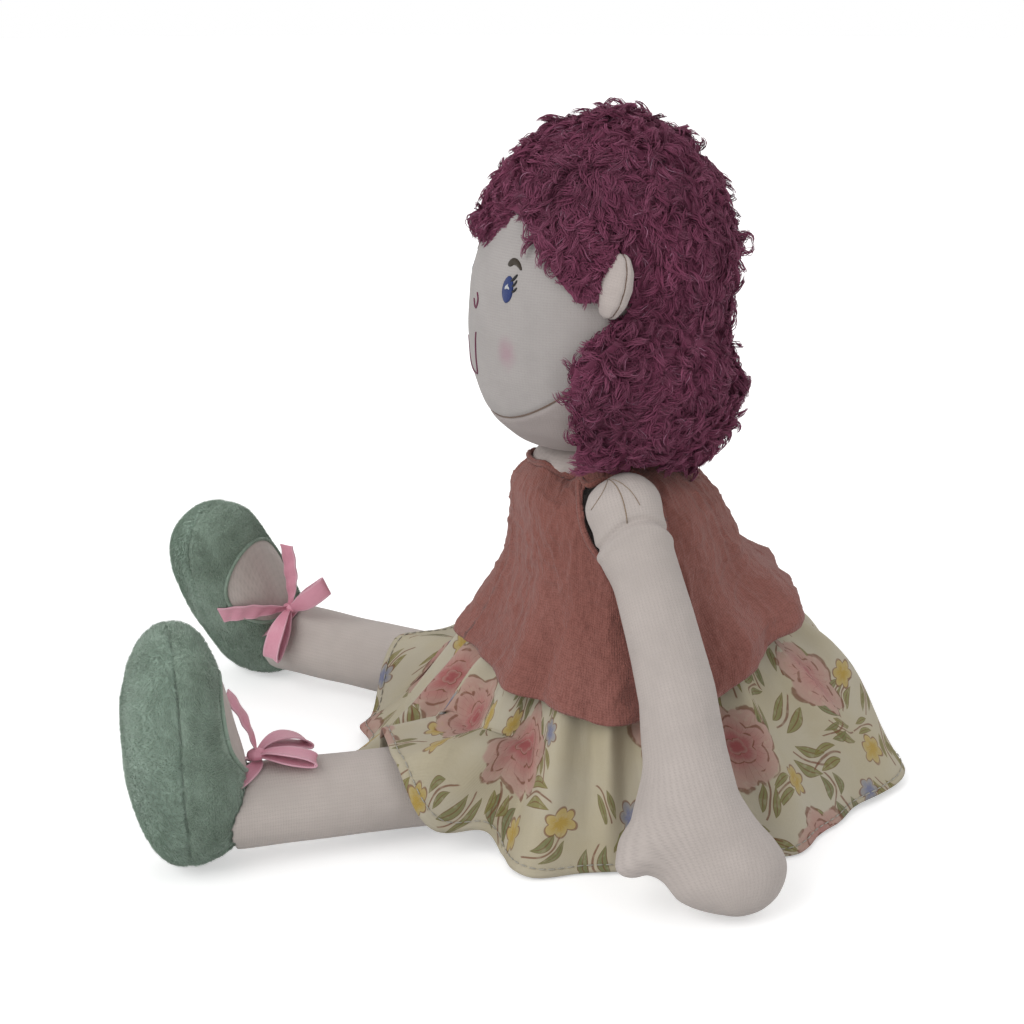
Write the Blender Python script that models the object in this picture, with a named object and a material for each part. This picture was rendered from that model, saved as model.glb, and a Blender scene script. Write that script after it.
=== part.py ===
"""Seated rag doll: stuffed jersey body, plush hair, gauze top, gathered skirt and velour shoes with bows.

The doll faces -Y, its left side is +X, and it sits on the flat of its seat at Z = 0. Lengths are in metres.
Each stuffed form is a loft of rounded rings. Every piece is its own closed solid.
"""

import math

import bmesh
import bpy
from mathutils import Matrix, Vector

# Room left between two pieces that touch on the real doll, and the extra reach of a cutter
SEAM_GAP = 0.0003
OVERRUN = 0.15

# Torso: height to the neck seam, largest width and largest depth
TORSO_HEIGHT = 0.119
TORSO_WIDTH = 0.086
TORSO_DEPTH = 0.071
TORSO_SIDES = 28
# Height, half width, half depth and middle towards the back, as shares of height, width, depth and depth
TORSO_SHARES = (
    (0.0, 0.38, 0.37, 0.13),
    (0.03, 0.45, 0.44, 0.11),
    (0.10, 0.49, 0.485, 0.07),
    (0.22, 0.50, 0.50, 0.05),
    (0.38, 0.47, 0.48, 0.035),
    (0.55, 0.435, 0.45, 0.03),
    (0.70, 0.395, 0.43, 0.025),
    (0.80, 0.35, 0.405, 0.01),
    (0.88, 0.315, 0.36, -0.01),
    (0.94, 0.27, 0.31, -0.035),
    (0.98, 0.22, 0.255, -0.055),
    (1.0, 0.185, 0.215, -0.06),
)
TORSO_POWER = 2.3

# Neck: a short stuffed tube between the torso's top and the head
NECK_RADIUS = 0.0145
NECK_MIDDLE_Y = -0.005
NECK_LENGTH = 0.016
NECK_SIDES = 20
# Height and radius as shares of the neck's length and radius
NECK_SHARES = ((0.0, 1.0), (0.35, 1.04), (1.0, 1.0))

# Head: half width, half depth, half height and the height of its middle, turned a little to the doll's left
HEAD_HALF_WIDTH = 0.040
HEAD_HALF_DEPTH = 0.0418
HEAD_HALF_HEIGHT = 0.0535
HEAD_LIFT = 0.006
HEAD_MIDDLE_Y = -0.0068
HEAD_TURN_DEG = 7.0
HEAD_SIDES = 28
HEAD_ROWS = 13
HEAD_LEAN_SHARE = 0.06
HEAD_POWER_ABOVE = 1.8
HEAD_POWER_BELOW = 2.6
HEAD_ROUND_POWER = 2.1
# The chin panel's seam: its height at the front of the face and its rise towards the back, per unit of depth
CHIN_SEAM_RISE = 0.0080
CHIN_SEAM_SLOPE_SHARE = 0.90

# Ears: half reach outward, half thickness, half height, place on the head and lean towards the back
EAR_HALF_REACH = 0.0095
EAR_HALF_THICK = 0.0052
EAR_HALF_HEIGHT = 0.0108
EAR_MIDDLE_BACK = -0.008
EAR_MIDDLE_RISE = 0.009
EAR_LEAN_DEG = 13.0
EAR_SIDES = 12
EAR_ROWS = 6

# Plush hair: thickness of the crown, its thinner edge, and the bob's thickness where it is fullest
CROWN_THICKNESS = 0.0056
CROWN_EDGE_THICKNESS = 0.0035
CROWN_LINING = 0.0009
CROWN_REAR_SWELL = 0.0032
CROWN_COLUMNS = 28
CROWN_ROWS = 6
CROWN_THINNED_SHARE = 0.33
# Hairline: turn from the face's middle towards the doll's left in degrees, and height above the head's
# middle as a share of the head's half height
HAIRLINE_SHARES = (
    (-180, -0.27),
    (-120, -0.20),
    (-92, -0.10),
    (-76, 0.06),
    (-58, 0.16),
    (-36, 0.25),
    (-14, 0.38),
    (6, 0.49),
    (20, 0.53),
    (34, 0.42),
    (52, 0.20),
    (66, 0.02),
    (78, -0.02),
    (92, -0.10),
    (120, -0.20),
    (180, -0.27),
)
BOB_FRONT_DEG = 60.0
BOB_FULL_DEG = 82.0
BOB_FRONT_DROP = 0.018
BOB_TUCK = 0.0019
BOB_COLUMNS = 22
BOB_END_FULLNESS_SHARE = 0.35
BOB_FULL_AFTER_SHARE = 0.13
BOB_BACK_DROP = 0.0095
# The bob's cross-section: height as a share of the way from its lower edge to the crown, and the distance of
# its outer face from the head's axis as a share of the head's half depth
BOB_OUTER_SHARES = (
    (0.0, 0.85),
    (0.12, 0.97),
    (0.30, 1.08),
    (0.52, 1.165),
    (0.74, 1.17),
    (1.0, 1.09),
)
BOB_INNER_SHARES = (
    (0.0, 0.78),
    (0.25, 0.80),
    (0.50, 0.97),
    (0.75, 1.035),
    (1.0, 1.04),
)
BOB_LOWEST_ABOVE_SHOULDER = 0.0015

# Shoulder: a stuffed ball sewn to the torso's side, and the crease below it where the arm begins
SHOULDER_X = 0.037
SHOULDER_Y = -0.004
SHOULDER_DROP = 0.006
SHOULDER_Z = TORSO_HEIGHT - SHOULDER_DROP
SHOULDER_RADIUS = 0.0122
SHOULDER_SEAM_X = 0.028
SHOULDER_SIDES = 16
SHOULDER_ROWS = 8
CREASE_FROM_SHOULDER = 0.006

# Arm: how far it stands out and back at rest, its length from the shoulder's middle, and its radii
ARM_OUT_DEG = 33.4
ARM_BACK_DEG = 10.0
ARM_LENGTH = 0.134
ARM_TOP_RADIUS = 0.0115
ARM_RADIUS = 0.0118
WRIST_RADIUS = 0.0146
HAND_HALF_WIDTH = 0.0168
HAND_HALF_THICK = 0.0122
HAND_SHIFT = 0.0078
ARM_BEND = 0.0040
ARM_BEND_FROM_SHARE = 0.40
ARM_BEND_OVER_SHARE = 0.34
ARM_SIDES = 16
# Shares: distance down the arm, swell from the arm's radius to the wrist's, swell from the wrist to the hand
ARM_SHARES = (
    (0.0, 0.0, 0.0),
    (0.10, 0.0, 0.0),
    (0.26, 0.12, 0.0),
    (0.44, 0.35, 0.0),
    (0.60, 0.68, 0.0),
    (0.71, 1.0, 0.02),
    (0.78, 1.05, 0.32),
    (0.84, 1.0, 0.80),
    (0.885, 1.0, 1.0),
)
ARM_END_STEPS = 5
THUMB_FROM_SHOULDER = 0.1085
THUMB_OUT = 0.0172
THUMB_RADIUS = 0.0082
THUMB_HALF_LENGTH = 0.0135
THUMB_SLANT_SHARE = 0.42
THUMB_SIDES = 12
THUMB_ROWS = 7

# Legs: the hip's axis, the leg's length to the ankle's middle, its radius and how far each leg splays
HIP_X = 0.027
HIP_Y = -0.008
HIP_Z = 0.0166
LEG_LENGTH = 0.1193
LEG_RISE = 0.0024
LEG_HIP_RADIUS = 0.0130
LEG_RADIUS = 0.0140
LEG_ANKLE_RADIUS = 0.0142
LEG_SIDES = 16
LEG_INTO_SHOE = 0.012
LEG_SHARES = (
    (0.0, 0.0),
    (0.14, 0.5),
    (0.30, 0.9),
    (0.50, 1.0),
    (0.72, 1.25),
    (0.88, 1.75),
    (1.0, 2.0),
)
LEFT_SPLAY_DEG = 5.8
RIGHT_SPLAY_DEG = 38.0
# How far each foot turns out from its leg, and how far it leans in
LEFT_FOOT_TURN_DEG = 0.0
RIGHT_FOOT_TURN_DEG = 8.0
LEFT_ROLL_DEG = 0.0
RIGHT_ROLL_DEG = 26.0
ANKLE_HEIGHT = 0.0190
HIP_CLEARANCE = 0.0006
HIP_RAISE_DEG = 15.0
HIP_LOWER_DEG = 90.0
HIP_CREASE_STEPS = 8

# Shoes: heel to toe, width, the sole seam's distance past the ankle, and thickness on each side of the seam
SHOE_HEIGHT = 0.0845
SHOE_WIDTH = 0.0390
SHOE_SEAM_AHEAD = 0.0255
SHOE_SOLE_THICK = 0.0175
SHOE_UPPER_THICK = 0.0230
SHOE_SIDES = 20
SHOE_POWER = 2.2
# Height, half width, sole's reach and upper's reach, as shares of the four sizes above
SHOE_SHARES = (
    (0.010, 0.20, 0.22, 0.30),
    (0.035, 0.50, 0.44, 0.60),
    (0.09, 0.74, 0.64, 0.80),
    (0.18, 0.88, 0.80, 0.88),
    (0.30, 0.95, 0.92, 0.95),
    (0.44, 1.0, 0.98, 0.92),
    (0.58, 1.0, 1.0, 0.80),
    (0.72, 0.97, 0.98, 0.68),
    (0.84, 0.88, 0.80, 0.58),
    (0.92, 0.68, 0.58, 0.46),
    (0.975, 0.38, 0.32, 0.28),
)
SHOE_FLOOR_CLEARANCE = 0.0004
# The opening over the instep, and how deep it is cut
INSTEP_HALF_HEIGHT = 0.0170
INSTEP_HALF_WIDTH = 0.0135
INSTEP_MIDDLE_SHARE = 0.59
INSTEP_DEPTH = 0.0030
INSTEP_SIDES = 20

# Satin ribbon: width, thickness, knot, how far a loop opens, and the strap round the ankle under the knot
RIBBON_WIDTH = 0.0075
RIBBON_THICK = 0.0005
KNOT_HALF_LENGTH = 0.0034
KNOT_RADIUS = 0.0024
KNOT_CLEARANCE = 0.0005
KNOT_SIDES = 8
KNOT_ROWS = 5
LOOP_OPEN = 0.0045
LOOP_ENDS_APART = 0.0010
STRAP_CLEARANCE = 0.0006
STRAP_HALF_TURN_DEG = 72.0
STRAP_REACH = 0.0120
STRAP_STEPS = 14
STRAP_PINCH_SHARE = 0.55
LOOP_STEPS = 14
LOOP_PINCH_SHARE = 0.34
RIBBON_FULL_AFTER_SHARE = 0.5
TAIL_STEPS = 7
# Loops and tails: bend, tip and width direction, each along the foot towards the toe side, outward and up.
# Bends and tips are shares of the bow's reach, counted from the knot
BOW_REACH = 0.0200
LEFT_LOOP_SHARES = (
    ((-0.45, 0.24, 0.06), (-0.92, 0.24, -0.16), (0.22, 0.97, 0.0)),
    ((-0.42, -0.36, 0.12), (-0.90, -0.42, -0.18), (-0.35, 0.93, 0.0)),
)
LEFT_TAIL_SHARES = (
    ((0.05, -0.10, 0.55), (0.40, -0.22, 1.05), (0.30, 0.95, 0.0)),
    ((0.12, 0.45, 0.12), (0.06, 0.76, -0.36), (1.0, 0.0, 0.15)),
)
RIGHT_LOOP_SHARES = (
    ((-0.55, 0.10, 0.15), (-1.12, 0.35, 0.42), (0.25, 0.15, 0.95)),
    ((-0.28, -0.60, -0.02), (0.0, -0.92, -0.78), (1.0, 0.0, 0.10)),
)
RIGHT_TAIL_SHARES = (
    ((0.24, -0.86, 0.36), (1.08, -1.20, 0.10), (0.0, 0.15, 1.0)),
    ((-0.15, 0.28, 0.60), (-0.06, 0.55, 1.15), (0.95, 0.10, 0.0)),
)

# Gauze top: cloth thickness, the neckline's height and the fall to its hem at front, sides and back
TOP_CLOTH = 0.0010
TOP_NECK_RISE = 0.0026
TOP_NECK_Z = TORSO_HEIGHT + TOP_NECK_RISE
TOP_NECK_DIP = 0.0050
TOP_FALL_FRONT = 0.0668
TOP_FALL_SIDE = 0.0765
TOP_FALL_BACK = 0.0580
TOP_HALF_WIDTH = 0.0555
TOP_FRONT_REACH = 0.0462
TOP_BACK_REACH = 0.0690
TOP_MIDDLE_Y = -0.002
TOP_COLUMNS = 36
TOP_ROUND_POWER = 2.2
TOP_NECK_SHARE = 0.25
TOP_FOLD = 0.0022
# Each fold wave round the top: count, start and height share
TOP_FOLD_SHARES = ((9, 0.7, 1.0), (16, 2.1, 0.6))
# Fall, half width, reach forward and reach backward, as shares of those four sizes
TOP_SHARES = (
    (0.0, 0.364, 0.44, 0.245),
    (0.06, 0.487, 0.545, 0.35),
    (0.13, 0.591, 0.62, 0.46),
    (0.24, 0.652, 0.655, 0.56),
    (0.38, 0.676, 0.67, 0.61),
    (0.53, 0.714, 0.68, 0.68),
    (0.69, 0.80, 0.76, 0.81),
    (0.85, 0.91, 0.88, 0.93),
    (1.0, 1.0, 1.0, 1.0),
)
ARMHOLE_START_X = 0.0252
ARMHOLE_HALF_DEPTH = 0.0165
ARMHOLE_HALF_HEIGHT = 0.0212
ARMHOLE_DROP = 0.0087
ARMHOLE_MIDDLE_Z = SHOULDER_Z - ARMHOLE_DROP
ARMHOLE_SIDES = 24
BINDING_WIDTH = 0.0020
BINDING_THICK = 0.0018
BINDING_SIDES = 4

# Skirt: cloth thickness, the waist's drop below the neck seam, and the skirt's length
SKIRT_CLOTH = 0.0012
WAIST_DROP = 0.037
WAIST_Z = TORSO_HEIGHT - WAIST_DROP
WAISTBAND_HEIGHT = 0.0070
WAISTBAND_THICK = 0.0014
SKIRT_LENGTH = 0.0900
SKIRT_COLUMNS = 60
SKIRT_ROWS = 7
SKIRT_FLARE_SIDE = 2.1
SKIRT_FLARE_FRONT = 1.65
SKIRT_FLARE_BACK = 0.70
# Each fold wave round the skirt: count, start and height share
SKIRT_FOLD = 0.0042
SKIRT_FOLD_SHARES = ((11, 0.4, 1.0), (17, 1.9, 0.5))
HEM_CLEAR = 0.0006
LAP_CLEARANCE = 0.0026
LAP_SIDE = 0.0085
LAP_CREST_SHARE = 0.70
LAP_SPAN = 0.0270
LAP_SPAN_ENDS_SHARE = 0.7
# Hem: turn from the front towards the doll's left in degrees, distance from the middle and height above the
# floor, as shares of the skirt's length
HEM_SHARES = (
    (-180, 1.17, 0.045),
    (-152, 1.06, 0.02),
    (-120, 0.96, 0.0),
    (-90, 0.94, 0.0),
    (-66, 0.94, 0.0),
    (-51, 0.93, 0.02),
    (-36, 1.03, 0.02),
    (-18, 1.04, 0.05),
    (-4, 1.01, 0.05),
    (10, 0.98, 0.05),
    (26, 1.02, 0.03),
    (48, 0.88, 0.0),
    (76, 0.85, 0.0),
    (104, 0.90, 0.0),
    (130, 0.94, 0.0),
    (156, 1.09, 0.02),
    (172, 1.19, 0.05),
    (180, 1.17, 0.045),
)

COLOURS = {
    "jersey_ivory": ((0.80, 0.72, 0.64), 0.9),
    "jersey_pink": ((0.82, 0.69, 0.63), 0.9),
    "plush_plum": ((0.27, 0.05, 0.13), 0.95),
    "gauze_rose": ((0.50, 0.20, 0.16), 0.9),
    "cotton_cream": ((0.80, 0.74, 0.58), 0.85),
    "velour_sage": ((0.16, 0.25, 0.18), 0.9),
    "satin_pink": ((0.80, 0.36, 0.45), 0.35),
}


def clear_scene():
    """Remove every object that the file starts with."""
    for thing in list(bpy.data.objects):
        bpy.data.objects.remove(thing, do_unlink=True)


def cloth_material(name):
    """Return the Principled material of this name, made once."""
    known = bpy.data.materials.get(name)
    if known:
        return known
    colour, roughness = COLOURS[name]
    material = bpy.data.materials.new(name)
    material.use_nodes = True
    shader = material.node_tree.nodes["Principled BSDF"]
    shader.inputs["Base Color"].default_value = (*colour, 1.0)
    shader.inputs["Roughness"].default_value = roughness
    shader.inputs["Metallic"].default_value = 0.0
    return material


def rounded(angle, power):
    """Return the two coordinates of a unit superellipse at this angle."""
    across = math.cos(angle)
    along = math.sin(angle)
    return (
        math.copysign(abs(across) ** (2 / power), across),
        math.copysign(abs(along) ** (2 / power), along),
    )


def ring(middle, side, front, half_side, half_front, count, power=2.0):
    """Return a closed ring of points, counter-clockwise from `side` to `front`."""
    points = []
    for step in range(count):
        across, along = rounded(2 * math.pi * step / count, power)
        points.append(middle + side * (half_side * across) + front * (half_front * along))
    return points


def eased(way):
    """Return a way from 0 to 1 that starts and ends gently."""
    way = min(1, max(0, way))
    return way * way * (3 - 2 * way)


def read_shares(table, at, column, ease=False):
    """Read one column of a table of shares at a value of its first column."""
    for before, after in zip(table, table[1:]):
        if at <= after[0]:
            way = (at - before[0]) / (after[0] - before[0])
            way = eased(way) if ease else way
            return before[column] + (after[column] - before[column]) * way
    return table[-1][column]


def grid_faces(mesh, rows, closed_rows):
    """Join neighbouring rows of vertices with quads."""
    for lower, upper in zip(rows, rows[1:]):
        count = len(lower)
        for step in range(count if closed_rows else count - 1):
            after = (step + 1) % count
            mesh.faces.new((lower[step], lower[after], upper[after], upper[step]))


def finish_mesh(mesh, name, material, hidden=False):
    """Turn a bmesh into an object with outward faces and smooth shading."""
    bmesh.ops.recalc_face_normals(mesh, faces=mesh.faces)
    data = bpy.data.meshes.new(name)
    mesh.to_mesh(data)
    mesh.free()
    data.shade_smooth()
    thing = bpy.data.objects.new(name, data)
    bpy.context.scene.collection.objects.link(thing)
    if hidden:
        thing.hide_render = True
        thing.display_type = "WIRE"
    else:
        data.materials.append(cloth_material(material))
    return thing


def loft(name, rings, material=None, poles=(None, None)):
    """Skin a closed solid over rings of equal count, with a flat end or a pole point at each end."""
    mesh = bmesh.new()
    rows = [[mesh.verts.new(point) for point in points] for points in rings]
    grid_faces(mesh, rows, True)
    for row, pole in ((rows[0], poles[0]), (rows[-1], poles[1])):
        if pole is None:
            mesh.faces.new(row)
            continue
        tip = mesh.verts.new(pole)
        for step, vertex in enumerate(row):
            mesh.faces.new((vertex, row[(step + 1) % len(row)], tip))
    return finish_mesh(mesh, name, material, hidden=material is None)


def shell(name, outer, inner, material=None):
    """Skin the cloth between two grids of closed rows, joined along their first and last rows."""
    mesh = bmesh.new()
    outside = [[mesh.verts.new(point) for point in points] for points in outer]
    inside = [[mesh.verts.new(point) for point in points] for points in inner]
    grid_faces(mesh, outside, True)
    grid_faces(mesh, inside, True)
    grid_faces(mesh, [outside[0], inside[0]], True)
    grid_faces(mesh, [outside[-1], inside[-1]], True)
    return finish_mesh(mesh, name, material, hidden=material is None)


def carve(target, cutter, operation="DIFFERENCE"):
    """Cut a solid with another, or keep what they share."""
    modifier = target.modifiers.new(operation.title() + " " + cutter.name, "BOOLEAN")
    modifier.operation = operation
    modifier.solver = "EXACT"
    modifier.object = cutter


def hinge_empty(name, place, parent=None):
    """Add an empty on a joint's axis, which carries the pieces that turn there."""
    empty = bpy.data.objects.new(name, None)
    bpy.context.scene.collection.objects.link(empty)
    empty.location = place
    if parent:
        attach(empty, parent)
    return empty


def attach(thing, carrier):
    """Parent a piece to its carrier without moving it."""
    bpy.context.view_layer.update()
    thing.parent = carrier
    thing.matrix_parent_inverse = carrier.matrix_world.inverted()


def ellipsoid(name, middle, axes, halves, sides, rows, material=None):
    """Make an ellipsoid about its third axis."""
    side, front, up = axes
    rings = []
    for row in range(1, rows):
        angle = math.pi * row / rows
        spread = math.sin(angle)
        level = middle - up * (halves[2] * math.cos(angle))
        rings.append(ring(level, side, front, halves[0] * spread, halves[1] * spread, sides))
    poles = (middle - up * halves[2], middle + up * halves[2])
    return loft(name, rings, material, poles)


def torso_ring(share, grow, count):
    """Return the torso's ring at a share of its height, grown outward."""
    half_width = TORSO_WIDTH * read_shares(TORSO_SHARES, share, 1) + grow
    half_depth = TORSO_DEPTH * read_shares(TORSO_SHARES, share, 2) + grow
    middle = Vector((0, TORSO_DEPTH * read_shares(TORSO_SHARES, share, 3), TORSO_HEIGHT * share))
    return ring(middle, Vector((1, 0, 0)), Vector((0, 1, 0)), half_width, half_depth, count, TORSO_POWER)


def build_torso():
    """Make the pear-shaped torso with its flat seat, arm seats and the creases where the legs fold."""
    rings = [torso_ring(row[0], 0, TORSO_SIDES) for row in TORSO_SHARES]
    torso = loft("torso", rings, "jersey_ivory")
    for sign, name in ((1, "left"), (-1, "right")):
        carve(torso, arm_seat_cutter(name, sign))
        carve(torso, hip_crease_cutter(name, sign))
    return torso


def arm_seat_cutter(name, sign):
    """Return the round flat seat that a shoulder is sewn to."""
    radius = SHOULDER_RADIUS + SEAM_GAP
    start = SHOULDER_SEAM_X - SEAM_GAP
    rings = [
        ring(
            Vector((sign * reach, SHOULDER_Y, SHOULDER_Z)),
            Vector((0, 1, 0)),
            Vector((0, 0, 1)),
            radius,
            radius,
            SHOULDER_SIDES,
        )
        for reach in (start, start + OVERRUN)
    ]
    return loft("cut_arm_seat_" + name, rings)


def hip_place(sign):
    """Return the middle of a hip."""
    return Vector((sign * HIP_X, HIP_Y, HIP_Z))


def leg_axes(sign):
    """Return a leg's direction at rest, its hinge axis and the direction level with it."""
    splay = math.radians(LEFT_SPLAY_DEG if sign > 0 else RIGHT_SPLAY_DEG)
    level = Vector((sign * math.sin(splay), -math.cos(splay), 0))
    direction = level * LEG_LENGTH + Vector((0, 0, LEG_RISE))
    direction.normalize()
    return direction, Vector((0, 0, 1)).cross(level), level


def hip_crease_cutter(name, sign):
    """Return the space that the leg's top sweeps when it folds up and hangs down."""
    direction, axis, level = leg_axes(sign)
    hip = hip_place(sign)
    radius = LEG_RADIUS + HIP_CLEARANCE
    up = Vector((0, 0, 1))
    pitch = math.asin(direction.z)
    highest = pitch + math.radians(HIP_RAISE_DEG)
    lowest = pitch - math.radians(HIP_LOWER_DEG)
    outline = []
    for step in range(HIP_CREASE_STEPS + 1):
        turn = lowest - math.pi / 2 - (lowest - highest + math.pi) * step / HIP_CREASE_STEPS
        outline.append(hip + (level * math.cos(turn) + up * math.sin(turn)) * radius)
    raised = level * math.cos(highest) + up * math.sin(highest)
    lowered = level * math.cos(lowest) + up * math.sin(lowest)
    outline.append(outline[-1] + raised * OVERRUN)
    outline.append(hip + (raised + lowered) * OVERRUN + (level - up) * radius)
    outline.append(outline[0] + lowered * OVERRUN)
    rings = [[point + axis * (shift * radius) for point in outline] for shift in (-1, 1)]
    return loft("cut_hip_" + name, rings)


def build_neck(carrier):
    """Make the neck, a soft tube that the head's underside sinks into."""
    base = Vector((0, NECK_MIDDLE_Y, TORSO_HEIGHT + SEAM_GAP))
    side = Vector((1, 0, 0))
    front = Vector((0, 1, 0))
    rings = []
    for share, swell in NECK_SHARES:
        radius = NECK_RADIUS * swell
        middle = base + Vector((0, 0, NECK_LENGTH * share))
        rings.append(ring(middle, side, front, radius, radius, NECK_SIDES))
    neck = loft("neck", rings, "jersey_ivory")
    carve(neck, head_form("cut_neck_top", SEAM_GAP))
    attach(neck, carrier)
    return neck


def head_middle():
    """Return the middle of the head."""
    return Vector((0, HEAD_MIDDLE_Y, TORSO_HEIGHT + HEAD_LIFT + HEAD_HALF_HEIGHT))


def turned_with_head(point):
    """Turn a point about the neck's axis as the head is turned at rest."""
    pivot = Vector((0, NECK_MIDDLE_Y, 0))
    return pivot + Matrix.Rotation(math.radians(HEAD_TURN_DEG), 3, "Z") @ (point - pivot)


def head_point(turn, polar, grow=0.0):
    """Return a point of the head: turn from the face's middle to the left, and polar angle from the top."""
    power = HEAD_POWER_ABOVE if polar < math.pi / 2 else HEAD_POWER_BELOW
    rise, spread = rounded(polar, power)
    across, along = rounded(turn, HEAD_ROUND_POWER)
    lift = (HEAD_HALF_HEIGHT + grow) * rise
    side = (HEAD_HALF_WIDTH + grow) * spread * along
    back = HEAD_LEAN_SHARE * lift - (HEAD_HALF_DEPTH + grow) * spread * across
    return turned_with_head(head_middle() + Vector((side, back, lift)))


def head_form(name, grow, material=None):
    """Make the whole head's rounded form, grown outward."""
    rings = []
    for row in range(1, HEAD_ROWS):
        polar = math.pi * row / HEAD_ROWS
        turns = [2 * math.pi * step / HEAD_SIDES for step in range(HEAD_SIDES)]
        rings.append([head_point(turn, polar, grow) for turn in turns])
    poles = (head_point(0, 0, grow), head_point(0, math.pi, grow))
    return loft(name, rings, material, poles)


def chin_block(name, lift):
    """Return a block that holds everything under the chin panel's seam."""
    middle = head_middle()
    slope = Vector((0, 1, CHIN_SEAM_SLOPE_SHARE)).normalized()
    normal = Vector((0, -CHIN_SEAM_SLOPE_SHARE, 1)).normalized()
    seam = middle + Vector((0, -HEAD_HALF_DEPTH, CHIN_SEAM_RISE - HEAD_HALF_HEIGHT)) + normal * lift
    reach = HEAD_HALF_DEPTH + OVERRUN
    corners = ((-reach, -reach), (reach, -reach), (reach, reach), (-reach, reach))
    rings = []
    for depth in (-OVERRUN, 0):
        level = seam + normal * depth
        points = [level + Vector((1, 0, 0)) * x + slope * y for x, y in corners]
        rings.append([turned_with_head(point) for point in points])
    return loft(name, rings)


def build_head(carrier):
    """Make the face panel and the chin panel, which meet at the seam round the jaw."""
    face = head_form("head_face", 0, "jersey_ivory")
    carve(face, chin_block("cut_above_chin", SEAM_GAP / 2))
    chin = head_form("chin_panel", 0, "jersey_ivory")
    carve(chin, chin_block("keep_chin", -SEAM_GAP / 2), "INTERSECT")
    for piece in (face, chin):
        attach(piece, carrier)


def ear_form(name, sign, grow, material=None):
    """Make an ear, a flattened stuffed oval that leans back."""
    middle = head_middle() + Vector((sign * HEAD_HALF_WIDTH, EAR_MIDDLE_BACK, EAR_MIDDLE_RISE))
    lean = math.radians(EAR_LEAN_DEG)
    axes = (
        Vector((1, 0, 0)),
        Vector((0, math.cos(lean), -math.sin(lean))),
        Vector((0, math.sin(lean), math.cos(lean))),
    )
    turn = Matrix.Rotation(math.radians(HEAD_TURN_DEG), 3, "Z")
    halves = (EAR_HALF_REACH + grow, EAR_HALF_THICK + grow, EAR_HALF_HEIGHT + grow)
    return ellipsoid(
        name, turned_with_head(middle), [turn @ axis for axis in axes], halves, EAR_SIDES, EAR_ROWS, material
    )


def build_ears(carrier):
    """Make both ears, sewn on against the face panel."""
    for name, sign in (("left", 1), ("right", -1)):
        ear = ear_form(name + "_ear", sign, 0, "jersey_ivory")
        carve(ear, head_form("cut_ear_" + name, SEAM_GAP))
        attach(ear, carrier)


def hairline_polar(turn_deg):
    """Return the polar angle of the crown's edge at a turn from the face's middle."""
    rise = read_shares(HAIRLINE_SHARES, turn_deg, 1, True)
    power = HEAD_POWER_ABOVE if rise > 0 else HEAD_POWER_BELOW
    return math.acos(math.copysign(abs(rise) ** (power / 2), rise))


def crown_thickness(turn_deg, polar, way):
    """Return the crown's thickness: thin at its edge, and fuller high up behind."""
    edge = min(1, way / CROWN_THINNED_SHARE)
    rear = max(0, -math.cos(math.radians(turn_deg))) * max(0, math.sin(2 * polar))
    return CROWN_EDGE_THICKNESS + (CROWN_THICKNESS - CROWN_EDGE_THICKNESS) * edge + CROWN_REAR_SWELL * rear


def build_hair_crown(carrier):
    """Make the plush crown, a fitted cap of even thickness that thins at the hairline."""
    outer = []
    inner = []
    for row in range(CROWN_ROWS):
        way = row / CROWN_ROWS
        outside = []
        inside = []
        for step in range(CROWN_COLUMNS):
            turn_deg = 360 * step / CROWN_COLUMNS - 180
            polar = hairline_polar(turn_deg) * (1 - way)
            outside.append(head_point(math.radians(turn_deg), polar, crown_thickness(turn_deg, polar, way)))
            inside.append(head_point(math.radians(turn_deg), polar, CROWN_LINING))
        outer.append(outside)
        inner.append(inside)
    mesh = bmesh.new()
    outside = [[mesh.verts.new(point) for point in points] for points in outer]
    inside = [[mesh.verts.new(point) for point in points] for points in inner]
    for rows, grow in ((outside, CROWN_THICKNESS), (inside, CROWN_LINING)):
        grid_faces(mesh, rows, True)
        top = mesh.verts.new(head_point(0, 0, grow))
        for step in range(CROWN_COLUMNS):
            mesh.faces.new((rows[-1][step], rows[-1][(step + 1) % CROWN_COLUMNS], top))
    grid_faces(mesh, [outside[0], inside[0]], True)
    crown = finish_mesh(mesh, "hair_crown", "plush_plum")
    for name, sign in (("left", 1), ("right", -1)):
        carve(crown, ear_form("cut_crown_" + name, sign, SEAM_GAP))
    attach(crown, carrier)


def bob_column(turn_deg, fullness):
    """Return one upright outline of the bob at a turn from the face's middle."""
    turn = math.radians(turn_deg)
    middle = head_middle()
    backward = 0.5 - 0.5 * math.cos(turn)
    lowest = SHOULDER_Z + SHOULDER_RADIUS + BOB_LOWEST_ABOVE_SHOULDER
    lowest -= BOB_BACK_DROP * max(0, -math.cos(turn)) ** 2 * backward
    edge = middle.z + HEAD_HALF_HEIGHT * read_shares(HAIRLINE_SHARES, turn_deg, 1, True) - BOB_TUCK
    edge -= BOB_FRONT_DROP * max(0, BOB_FULL_DEG - abs(turn_deg)) / (BOB_FULL_DEG - BOB_FRONT_DEG)
    points = []
    for table, order in ((BOB_OUTER_SHARES, 1), (BOB_INNER_SHARES, -1)):
        for share, reach in table[::order]:
            inner = read_shares(BOB_INNER_SHARES, share, 1)
            reach = inner + (reach - inner) * (fullness if order > 0 else 1)
            across, along = rounded(turn, HEAD_ROUND_POWER)
            spot = middle + Vector(
                (
                    HEAD_HALF_DEPTH * reach * along,
                    -HEAD_HALF_DEPTH * reach * across,
                    lowest + (edge - lowest) * share - middle.z,
                )
            )
            points.append(turned_with_head(spot))
    return points


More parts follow.
